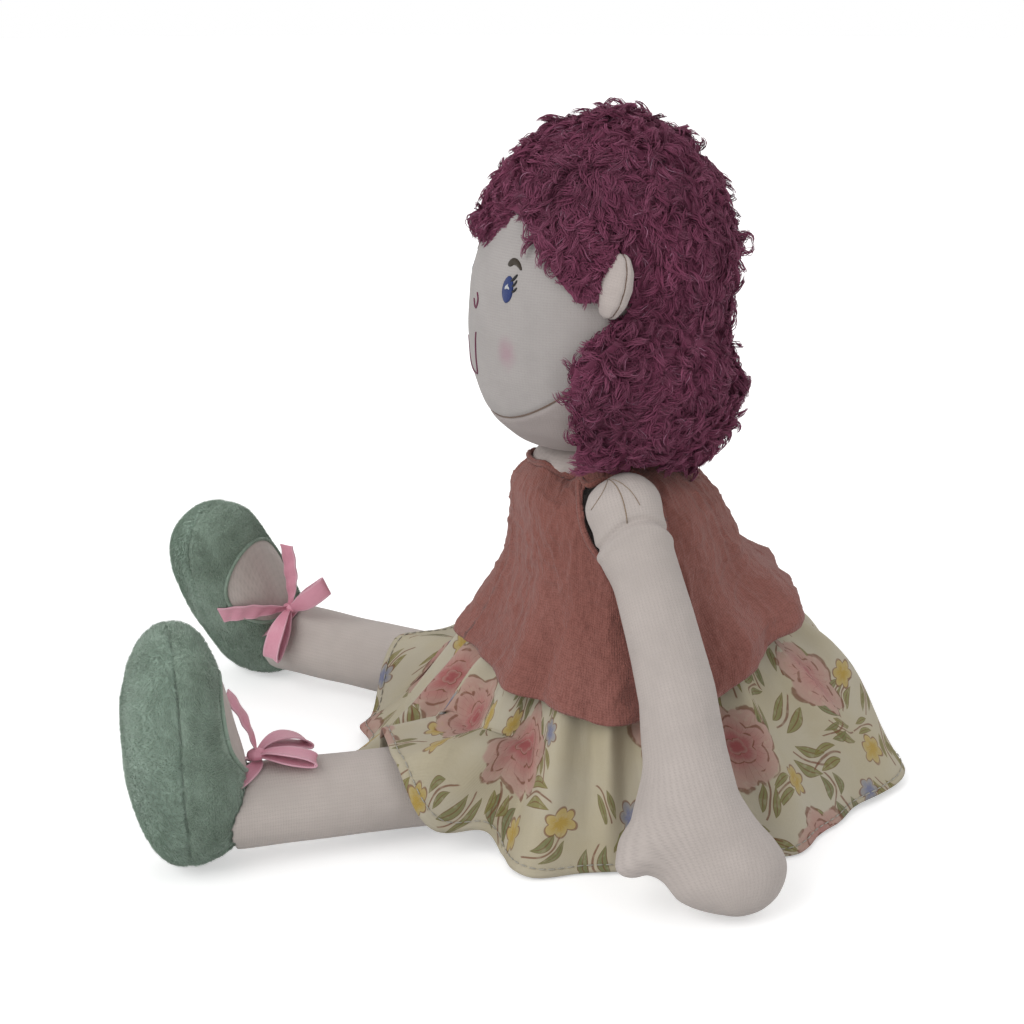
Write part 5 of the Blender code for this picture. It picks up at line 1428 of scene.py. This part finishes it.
for turn_deg in np.linspace(-64, 20, 124):
    height = np.interp(turn_deg, FRINGE_TURNS, FRINGE_HEIGHTS)
    combing = Vector((0, 0, -2.4)) + head_axes[0] * (-1.3 if turn_deg > 2 else -0.4)
    for layer in FRINGE_LAYERS:
        level = height + layer + draws.normal(0, 0.0005)
        fullness = 0.05 + 60 * (layer - FRINGE_LAYERS[0])
        add_lock(0.040, math.radians(turn_deg), level, 0.17 * layer - 0.0009, combing, fullness)
for _ in range(40):
    turn = math.radians(draws.uniform(-16, 3))
    add_lock(0.040, turn, draws.uniform(0.0245, 0.0290), 0.0030, (0.5, -0.9, -2.6), 1.1)
for sign in (1, -1):
    for _ in range(420):
        level = draws.uniform(-0.0230, -0.0030)
        front = np.interp(level, BOB_LEVELS, BOB_FRONTS)
        turn = draws.uniform(front, 99)
        combing = (0.0, -0.3 if turn < front + 9 else 0.5, -0.5)
        add_lock(sign * 0.042, math.radians(turn), level, 0.0012, combing, 1.0)
    for _ in range(90):
        turn = math.radians(draws.uniform(64, 75))
        add_lock(sign * 0.042, turn, draws.uniform(0.0075, 0.0230), 0.0030, (0.0, 1.6, -0.4), 1.0)
roots, slopes, combing, flat = (np.array(column) for column in zip(*fringe))
curled_locks("hair_fringe_pile", roots, slopes, combing, (0.0040, 0.0060), draws, flat)


# Cloth


def cloth_grid(name, grid, flat, thick, material, keep=None, round_joined=True):
    """Make a cloth piece from a grid of points, rows down and columns round, thickened inwards."""
    rows, columns = grid.shape[:2]
    faces = []
    for row in range(rows - 1):
        for column in range(columns if round_joined else columns - 1):
            after = (column + 1) % columns
            corners = (
                row * columns + column, (row + 1) * columns + column, (row + 1) * columns + after,
                row * columns + after
            )
            if keep is None or all(keep[corner // columns, corner % columns] for corner in corners):
                faces.append(corners)
    data = bpy.data.meshes.new(name)
    data.from_pydata(grid.reshape(-1, 3).tolist(), [], faces)
    thing = link(name, data, material)
    put_vectors(thing, "flat", np.concatenate([flat.reshape(-1, 2), np.zeros((rows * columns, 1))], axis=1))
    put_vectors(thing, "fabric", grid.reshape(-1, 3))
    mesh = bmesh.new()
    mesh.from_mesh(data)
    loose = [vertex for vertex in mesh.verts if not vertex.link_faces]
    bmesh.ops.delete(mesh, geom=loose, context="VERTS")
    mesh.to_mesh(data)
    mesh.free()
    return modified(thing, "SOLIDIFY", material, thickness=thick, offset=-1)


def smoothed(grid, rounds, joined=True):
    """Soften a grid of points, leaving its first and last rows."""
    for _ in range(rounds):
        around = (np.roll(grid, 1, axis=1) + np.roll(grid, -1, axis=1)) / 2
        if not joined:
            around[:, 0], around[:, -1] = grid[:, 0], grid[:, -1]
        down = grid.copy()
        down[1:-1] = (grid[:-2] + grid[2:]) / 2
        mixed = 0.5 * grid + 0.25 * (around + down)
        mixed[0] = grid[0]
        grid = mixed
    return grid


def grid_normals(grid):
    """Return the outward normals of a closed grid whose rows run down."""
    around = np.roll(grid, -1, axis=1) - np.roll(grid, 1, axis=1)
    down = np.gradient(grid, axis=0)
    normals = np.cross(down, around)
    return normals / (np.linalg.norm(normals, axis=2)[:, :, None] + 1e-12)


def flat_places(grid):
    """Return each point's place on the flat cloth: along the hem, and up from it."""
    hem = grid[-1]
    steps = np.linalg.norm(np.roll(hem, -1, axis=0) - hem, axis=1)
    along = np.concatenate([[0], np.cumsum(steps)[:-1]])
    falls = np.linalg.norm(np.diff(grid, axis=0), axis=2)
    up = np.concatenate([np.cumsum(falls[::-1], axis=0)[::-1], np.zeros((1, grid.shape[1]))])
    flat = np.stack([np.broadcast_to(along, up.shape), up], axis=2)
    return flat, steps.sum(), up[0].mean()


def grid_area(grid):
    """Return the area of an open grid of points."""
    first, second = grid[1:, 1:] - grid[:-1, :-1], grid[1:, :-1] - grid[:-1, 1:]
    return 0.5 * np.linalg.norm(np.cross(first, second), axis=2).sum()


def cloth_noise(flat, across, down, seed):
    """Return smooth noise on flat cloth places, stretched by a scale each way."""
    found = [noise.noise(Vector((u * across, v * down, seed))) for u, v in flat.reshape(-1, 2)]
    return np.array(found).reshape(flat.shape[:2])


# the skirt, in a left and a right half that lap between the legs
SKIRT_COLUMNS, SKIRT_ROWS = 540, 84
turns = np.linspace(-math.pi, math.pi, SKIRT_COLUMNS, endpoint=False)
skirt_grid = np.array(
    [[list(skirt_point(turn, row / SKIRT_ROWS)) for turn in turns] for row in range(SKIRT_ROWS + 1)]
)
skirt_grid = smoothed(skirt_grid, 10)
skirt_flat, skirt_hem_length, skirt_fall = flat_places(skirt_grid)
share = np.linspace(0, 1, SKIRT_ROWS + 1)[:, None]
gathers = 0.5 + 0.5 * np.cos(44 * turns[None, :] + 2.2 * np.sin(3 * turns[None, :]))
pleats = (0.5 + 0.5 * np.cos(19 * turns[None, :] + 1.3 * np.sin(4 * turns[None, :]) + 0.6)) ** 1.6
bared = np.clip((share - 0.16) / 0.30, 0, 1)
bared = bared * bared * (3 - 2 * bared)
lift = 0.0008 * gathers * (1 - share) ** 2
lift = lift + 0.0050 * bared * pleats * np.sin(math.pi * np.clip(share * 0.86 + 0.08, 0, 1)) ** 1.1
lift += 0.0012 * bared * (cloth_noise(skirt_flat, 60, 40, 3) + 0.4)
skirt_grid += grid_normals(skirt_grid) * lift[:, :, None]
skirt_grid[:, :, 2] = np.maximum(skirt_grid[:, :, 2], 0.0016)

LAP_TURN = math.radians(-14)
LAP_COLUMNS = 9
front = int(round((LAP_TURN + math.pi) / (TURN) * SKIRT_COLUMNS))
skirt_pieces = []
for side, sign in SIDES:
    if sign > 0:
        columns = np.arange(front - LAP_COLUMNS, SKIRT_COLUMNS + 1) % SKIRT_COLUMNS
    else:
        columns = np.arange(0, front + LAP_COLUMNS + 1)
    some = skirt_grid[:, columns].copy()
    flat = skirt_flat[:, columns].copy()
    if sign > 0:
        flat[:, -1, 0] = skirt_hem_length
        under = np.clip(1 - np.arange(len(columns)) / (2 * LAP_COLUMNS), 0, 1)
        some -= grid_normals(skirt_grid)[:, columns] * (0.0022 * under[None, :, None] ** 0.6)
        some[:, :, 2] = np.maximum(some[:, :, 2], 0.0012)
    half = cloth_grid(side + "_skirt_half", some, flat, 0.0009, cotton_print, round_joined=False)
    hem_row = some[-3] + grid_normals(skirt_grid)[-3, columns] * 0.0003
    hem = gathered_mesh(
        side + "_skirt_hem_stitches", stitches(hem_row, 0.0021, 0.0011, 0.00022), cream_thread
    )
    level = leg_axes(sign)[2]
    start = hip_place(sign) + level * 0.020
    end = hip_place(sign) + level * 0.052
    for piece in (half, hem):
        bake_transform(piece)
        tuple(start)
    hem_length = np.linalg.norm(np.diff(some[-1], axis=0), axis=1).sum()
    skirt_pieces.append((half, hem_length, grid_area(some)))
for half, hem_length, area in skirt_pieces:
    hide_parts("skirt")

band_turns = np.linspace(0, TURN, 180, endpoint=False)
band_rows = []
for step in range(13):
    height = WAIST_Z + 0.0003 + 0.007 * step / 12
    half_width, fore, back = torso_half_widths(
        height / TORSO_HEIGHT, 0.0019 + 0.0004 * math.sin(math.pi * step / 12)
    )
    row = []
    for turn in band_turns:
        across, along = rounded(turn, TORSO_POWER)
        ruck = 1 + 0.010 * math.cos(60 * turn) * math.sin(math.pi * step / 12)
        row.append((half_width * along * ruck, -(fore if across > 0 else back) * across * ruck, height))
    band_rows.append(row)
band_grid = np.array(band_rows[::-1])
band_flat = flat_places(band_grid)[0]
waistband = cloth_grid("waistband_gathered", band_grid, band_flat, 0.0012, cotton)
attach(waistband, "torso")
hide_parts("skirt_waistband")

# the gauze top
TOP_COLUMNS, TOP_ROWS = 420, 96
turns = np.linspace(0, TURN, TOP_COLUMNS, endpoint=False)
top_grid = np.array(
    [[list(top_point(turn, row / TOP_ROWS)) for turn in turns] for row in range(TOP_ROWS + 1)]
)
top_grid = smoothed(top_grid, 6)
top_flat, top_hem_length, top_fall = flat_places(top_grid)
share = np.linspace(0, 1, TOP_ROWS + 1)[:, None]
drape = cloth_noise(top_flat, 34, 17, 1) + 0.5 * cloth_noise(top_flat, 75, 30, 5)
crease = 1 - np.abs(cloth_noise(top_flat, 70, 38, 8)) * 3.4
across_crease = 1 - np.abs(cloth_noise(top_flat, 40, 110, 4)) * 3.6
crinkle = cloth_noise(top_flat, 300, 260, 12) + 0.7 * cloth_noise(top_flat, 620, 420, 2)
lift = 0.0008 + 0.0017 * drape * np.clip(share * 1.6, 0.25, 1)
lift += 0.0007 * np.maximum(crease, 0) ** 2 + 0.00030 * crinkle
lift += 0.0006 * np.maximum(across_crease, 0) ** 2 + 0.0013 * share * share
hem_roll = 0.0007 * np.exp(-(((1 - share) * top_fall - 0.003) / 0.0022) ** 2)
rearward = np.clip((top_grid[:, :, 1] - TOP_MIDDLE_Y) / 0.045, 0, 1)
top_grid[:, :, 2] += 0.0052 * share * share * rearward
bulge = 0.0024 * np.cos(TURN * (share - 0.42) / 0.44) * share - 0.0022 * share * share
top_grid[:, :, 1] += rearward * bulge
top_grid += grid_normals(top_grid) * (lift + hem_roll)[:, :, None]
tilted = ARMHOLE_MIDDLE.y - ARMHOLE_TILT * (top_grid[:, :, 2] - ARMHOLE_MIDDLE.z)
beside = (top_grid[:, :, 1] - tilted) / ARMHOLE_HALVES[0]
above = (top_grid[:, :, 2] - ARMHOLE_MIDDLE.z) / ARMHOLE_HALVES[1]
away = np.hypot(beside, above)
at_side = np.abs(top_grid[:, :, 0]) > ARMHOLE_MIDDLE.x
near_edge = at_side & (away > 0.93) & (away < 1.07)
for column, middle in ((1, tilted), (2, ARMHOLE_MIDDLE.z)):
    offset = top_grid[:, :, column] - middle
    top_grid[:, :, column] = np.where(
        near_edge & (away < 1), middle + offset / np.maximum(away, 0.1), top_grid[:, :, column]
    )
keep = ~(at_side & (away < 0.93))
top = cloth_grid("gauze_top_cloth", top_grid, top_flat, 0.0008, gauze, keep=keep)
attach(top, "torso")
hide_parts("gauze_top")
top_tree = tree_of(top)


def binding(name, points, radius, nodes, seed):
    """Make a bound cloth edge: a soft flattened tube along a closed line, a little uneven."""
    line = [Vector(point) for point in points]
    count = len(line)
    middle = sum(line, Vector()) / count
    spots, flat = [], []
    sides = 10
    for step, place in enumerate(line):
        run = (line[(step + 1) % count] - line[step - 1]).normalized()
        out = (place - middle)
        out = (out - run * out.dot(run)).normalized()
        up = run.cross(out)
        puff = 1 + 0.16 * noise.noise(Vector((step * 0.35, seed, 0)))
        for turn in range(sides):
            angle = TURN * turn / sides
            spots.append(
                place + (out * (math.cos(angle) * radius[0]) + up * (math.sin(angle) * radius[1])) * puff
            )
            flat.append((step * 0.0012, turn * 0.0006, 0))
    thing = mesh_from(name, spots, loft_faces(count, sides, True), gauze)
    put_vectors(thing, "flat", flat)
    put_vectors(thing, "fabric", points_of(thing))
    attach(thing, "torso")
    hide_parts(*nodes)
    return thing


neck_line = [Vector(point) + Vector((0, 0, 0.0009)) for point in top_grid[0, ::3]]
binding("neck_binding_rolled", neck_line, (0.0010, 0.0012), ["neck_binding"], 3)
for side, sign in SIDES:
    hole = []
    for step in range(110):
        angle = TURN * step / 110
        z = ARMHOLE_MIDDLE.z + ARMHOLE_HALVES[1] * math.sin(angle)
        y = ARMHOLE_MIDDLE.y + ARMHOLE_HALVES[0] * math.cos(angle) - ARMHOLE_TILT * (z - ARMHOLE_MIDDLE.z)
        found = top_tree.ray_cast(
            Vector((sign * 0.09, y * 1.0 + 0.0003 * math.cos(angle), z + 0.0003 * math.sin(angle))),
            Vector((-sign, 0, 0))
        )
        hole.append(found[0] if found[0] else top_tree.find_nearest(Vector((sign * 0.035, y, z)))[0])
    hole = [Vector(point) for point in hole]
    for _ in range(3):
        hole = [(hole[step - 1] + hole[step] * 2 + hole[(step + 1) % 110]) / 4 for step in range(110)]
    binding(side + "_armhole_rolled", hole, (0.0012, 0.0009), [side + "_armhole_binding"], 5 + sign)


# Satin bows


def in_foot(sign, shares):
    """Turn shares along the foot's directions into a vector."""
    _, ahead, outward, up = ankle_frame(sign)
    return ahead * shares[0] + outward * shares[1] + up * shares[2]


def strap_radius():
    """Return how far the strap's middle lies from the ankle's middle."""
    return ANKLE_RADIUS + 0.0006 + RIBBON_THICK / 2


def knot_place(sign):
    """Return the middle of the bow's knot, on top of the ankle."""
    up = ankle_frame(sign)[3]
    return ankle_place(sign) + up * (strap_radius() + RIBBON_THICK / 2 + SEAM_GAP + KNOT_RADIUS)


def ribbon_line(sign, shares, way):
    """Return a point on the smooth line from the knot past the bend to the tip."""
    bend = in_foot(sign, shares[0]) * BOW_REACH
    tip = in_foot(sign, shares[1]) * BOW_REACH
    start = bend.normalized() * (KNOT_RADIUS * 0.75)
    away = 1 - way
    return knot_place(sign) + start * (away * away) + bend * (2 * away * way) + tip * (way * way)


def ribbon(name, path, across, widths, node, body, cup=0.0, ripple=0.0):
    """Make a satin ribbon along a path, with woven edges, a slight cup across and a ripple along."""
    line = curve_through([list(point) for point in path], 4 * len(path))
    wides = curve_through([list(point) for point in across], 4 * len(path))
    spread = np.interp(np.linspace(0, 1, len(line)), np.linspace(0, 1, len(widths)), widths)
    columns = np.array([-1.0, -0.93, -0.84, -0.5, -0.15, 0.2, 0.55, 0.84, 0.93, 1.0])
    rows, flat = [], []
    length = 0.0
    for step, place in enumerate(line):
        run = line[min(len(line) - 1, step + 1)] - line[max(0, step - 1)]
        run /= np.linalg.norm(run)
        wide = wides[step] - run * (run @ wides[step])
        wide /= np.linalg.norm(wide)
        normal = np.cross(run, wide)
        length += 0 if step == 0 else np.linalg.norm(line[step] - line[step - 1])
        row = []
        for column in columns:
            bow = cup * (1 - column * column) + ripple * math.sin(length * 900 + column * 2)
            row.append(place + wide * (spread[step] / 2 * column) + normal * bow)
        rows.append(row)
        flat.append([(length, column) for column in columns])
    thing = cloth_grid(name, np.array(rows), np.array(flat), RIBBON_THICK, satin, round_joined=False)
    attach(thing, body)
    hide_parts(node)
    return thing


for side, sign in SIDES:
    body = side + "_leg"
    foot, ahead, outward, up = ankle_frame(sign)
    level = leg_axes(sign)[2]
    path, widths = [], []
    for step in range(25):
        way = step / 12 - 1
        turn = math.radians(38) * way
        radial = outward * math.sin(turn) + up * math.cos(turn)
        path.append(ankle_place(sign) + radial * (strap_radius() + 0.0002) + level * (0.012 * way * way))
        widths.append(RIBBON_WIDTH * (0.5 + 0.5 * abs(way)))
    ribbon(side + "_strap_satin", path, [level] * len(path), widths, side + "_ribbon_strap", body, 0.0003)
    knot = soft_copy(
        side + "_knot_satin", [side + "_bow_knot"], satin, 0.0003, 8,
        frame_of(knot_place(sign), (ahead, outward, up))
    )
    put_vectors(
        knot, "flat",
        frame_of(knot_place(sign), (outward, ahead, up))(points_of(knot)) * np.array([1, 150, 1])
    )
    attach(knot, body)
    for number, shares in enumerate(LOOPS[sign], 1):
        wide = in_foot(sign, shares[2])
        rise = wide.cross(in_foot(sign, shares[1])).normalized()
        rise = -rise if rise.dot(up) < 0 else rise
        path, widths = [], []
        for step in range(23):
            angle = TURN * step / 22
            way = 0.5 - 0.5 * math.cos(angle)
            open_by = LOOP_OPENING[sign] * (0.5 + 0.5 * math.sin(angle)) * math.sqrt(way)
            open_by += 0.0005 * math.cos(angle / 2)
            path.append(ribbon_line(sign, shares, way) + rise * open_by)
            widths.append(RIBBON_WIDTH * (0.34 + 0.66 * min(1, 2 * way)))
        ribbon(
            f"{side}_loop_{number}_satin", path, [wide] * len(path), widths, f"{side}_bow_loop_{number}",
            body, 0.0003
        )
    for number, shares in enumerate(TAILS[sign], 1):
        wide = in_foot(sign, shares[2])
        path = [ribbon_line(sign, shares, step / 14) for step in range(15)]
        widths = [RIBBON_WIDTH * (0.34 + 0.66 * min(1, step / 7)) for step in range(15)]
        ribbon(
            f"{side}_tail_{number}_satin", path, [wide] * len(path), widths, f"{side}_bow_tail_{number}",
            body, 0.0004, 0.0002
        )


# Seams and stitches

chin_line = []
chin_middle = in_head((0, 0, CHIN_RISE - HEAD_HALVES[2] + CHIN_SLOPE * HEAD_HALVES[1]))
chin_ahead = (turned @ Vector((0, -1, -CHIN_SLOPE))).normalized()
for step in range(161):
    turn = math.radians(-95 + 190 * step / 160)
    out = head_axes[0] * math.sin(turn) + chin_ahead * math.cos(turn)
    found = head_tree.ray_cast(chin_middle + out * 0.09, -out)
    if found[0]:
        chin_line.append(found[0] + found[1] * 0.00005)
chin_seam = gathered_mesh("chin_seam_thread", [tube(even_line(chin_line, 0.0015), 0.00028, 5)], seam_thread)
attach(chin_seam, "head")

for side, sign in SIDES:
    direction, rear, inward = arm_axes(sign)
    shoulder = bpy.data.objects[side + "_arm_stuffed"]
    tree = tree_of(shoulder)
    seams = []
    for start, finish, thick in SHOULDER_SEAMS:
        line = []
        for step in range(15):
            way = step / 14
            back = start[0] + (finish[0] - start[0]) * way + 0.0006 * math.sin(math.pi * way)
            down = start[1] + (finish[1] - start[1]) * way
            spot = shoulder_place(sign) + rear * back + direction * down - inward * 0.03
            found = tree.ray_cast(spot, inward)
            if found[0]:
                line.append(found[0] + found[1] * 0.0001)
        if len(line) > 3:
            seams.append(tube(line, thick, 5))
    threads = gathered_mesh(side + "_shoulder_seam_thread", seams, shoulder_thread)
    cap_line = shoulder_place(sign)
    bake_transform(threads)


# Stage, camera and light


def stage_material():
    """White to the camera, mirrors and glass, but still able to hold the object's shadow."""
    n = Nodes("stage_white")
    seen = n.math("MAXIMUM", *n.add("ShaderNodeLightPath", (), ("Is Camera Ray", "Is Glossy Ray")))
    n.put(n.shader.inputs["Emission Color"], (1.0, 1.0, 1.0))
    n.put(n.shader.inputs["Emission Strength"], seen * 0.42)
    return n.finish((0.78, 0.78, 0.78), roughness=0.9, specular_ior_level=0.1)


bpy.ops.mesh.primitive_circle_add(vertices=64, radius=6.0, fill_type="NGON", location=(0, 0, 0))
floor = bpy.context.active_object
floor.name = "floor"
floor.data.materials.append(stage_material())

world = bpy.data.worlds.new("white_room")
scene.world = world
world.use_nodes = True
tree = world.node_tree
background = tree.nodes["Background"]
rays = tree.nodes.new("ShaderNodeLightPath")
seen = tree.nodes.new("ShaderNodeMath")
seen.operation = "MAXIMUM"
tree.links.new(rays.outputs["Is Camera Ray"], seen.inputs[0])
tree.links.new(rays.outputs["Is Transmission Ray"], seen.inputs[1])
level = tree.nodes.new("ShaderNodeMapRange")
level.inputs["To Min"].default_value = 0.62
level.inputs["To Max"].default_value = 1.0
tree.links.new(seen.outputs[0], level.inputs["Value"])
tree.links.new(level.outputs[0], background.inputs["Strength"])
background.inputs["Color"].default_value = (1.0, 1.0, 1.0, 1.0)

for name, place, wide, strength in (
    ("key_light", (0.62, -1.10, 1.05), 38, 1.25),
    ("fill_light", (0.5, 1.0, 0.8), 60, 0.48),
    ("rim_light", (-1.0, 0.3, 0.9), 50, 0.45),
):
    lamp = bpy.data.objects.new(name, bpy.data.lights.new(name, "SUN"))
    lamp.data.angle = math.radians(wide)
    lamp.data.energy = strength
    lamp.location = place
    lamp.rotation_euler = (-Vector(place)).to_track_quat("-Z", "Y").to_euler()
    scene.collection.objects.link(lamp)

lamp = bpy.data.objects.new("near_light", bpy.data.lights.new("near_light", "AREA"))
lamp.data.size = 0.36
lamp.data.energy = 0.38
lamp.location = (0.42, -0.42, 0.20)
lamp.rotation_euler = (Vector((0.02, -0.08, 0.05)) - lamp.location).to_track_quat("-Z", "Y").to_euler()
scene.collection.objects.link(lamp)

camera = bpy.data.objects.new("camera", bpy.data.cameras.new("camera"))
scene.collection.objects.link(camera)
camera.location = CAMERA_PLACE
ahead = Vector(
    (
        -math.cos(CAMERA_YAW) * math.cos(CAMERA_PITCH), math.sin(CAMERA_YAW) * math.cos(CAMERA_PITCH),
        -math.sin(CAMERA_PITCH)
    )
)
camera.rotation_euler = ahead.to_track_quat("-Z", "Y").to_euler()
camera.data.sensor_width = 36
camera.data.lens = CAMERA_LENS
camera.data.clip_start = 0.01
scene.camera = camera
scene.view_settings.view_transform = "Standard"
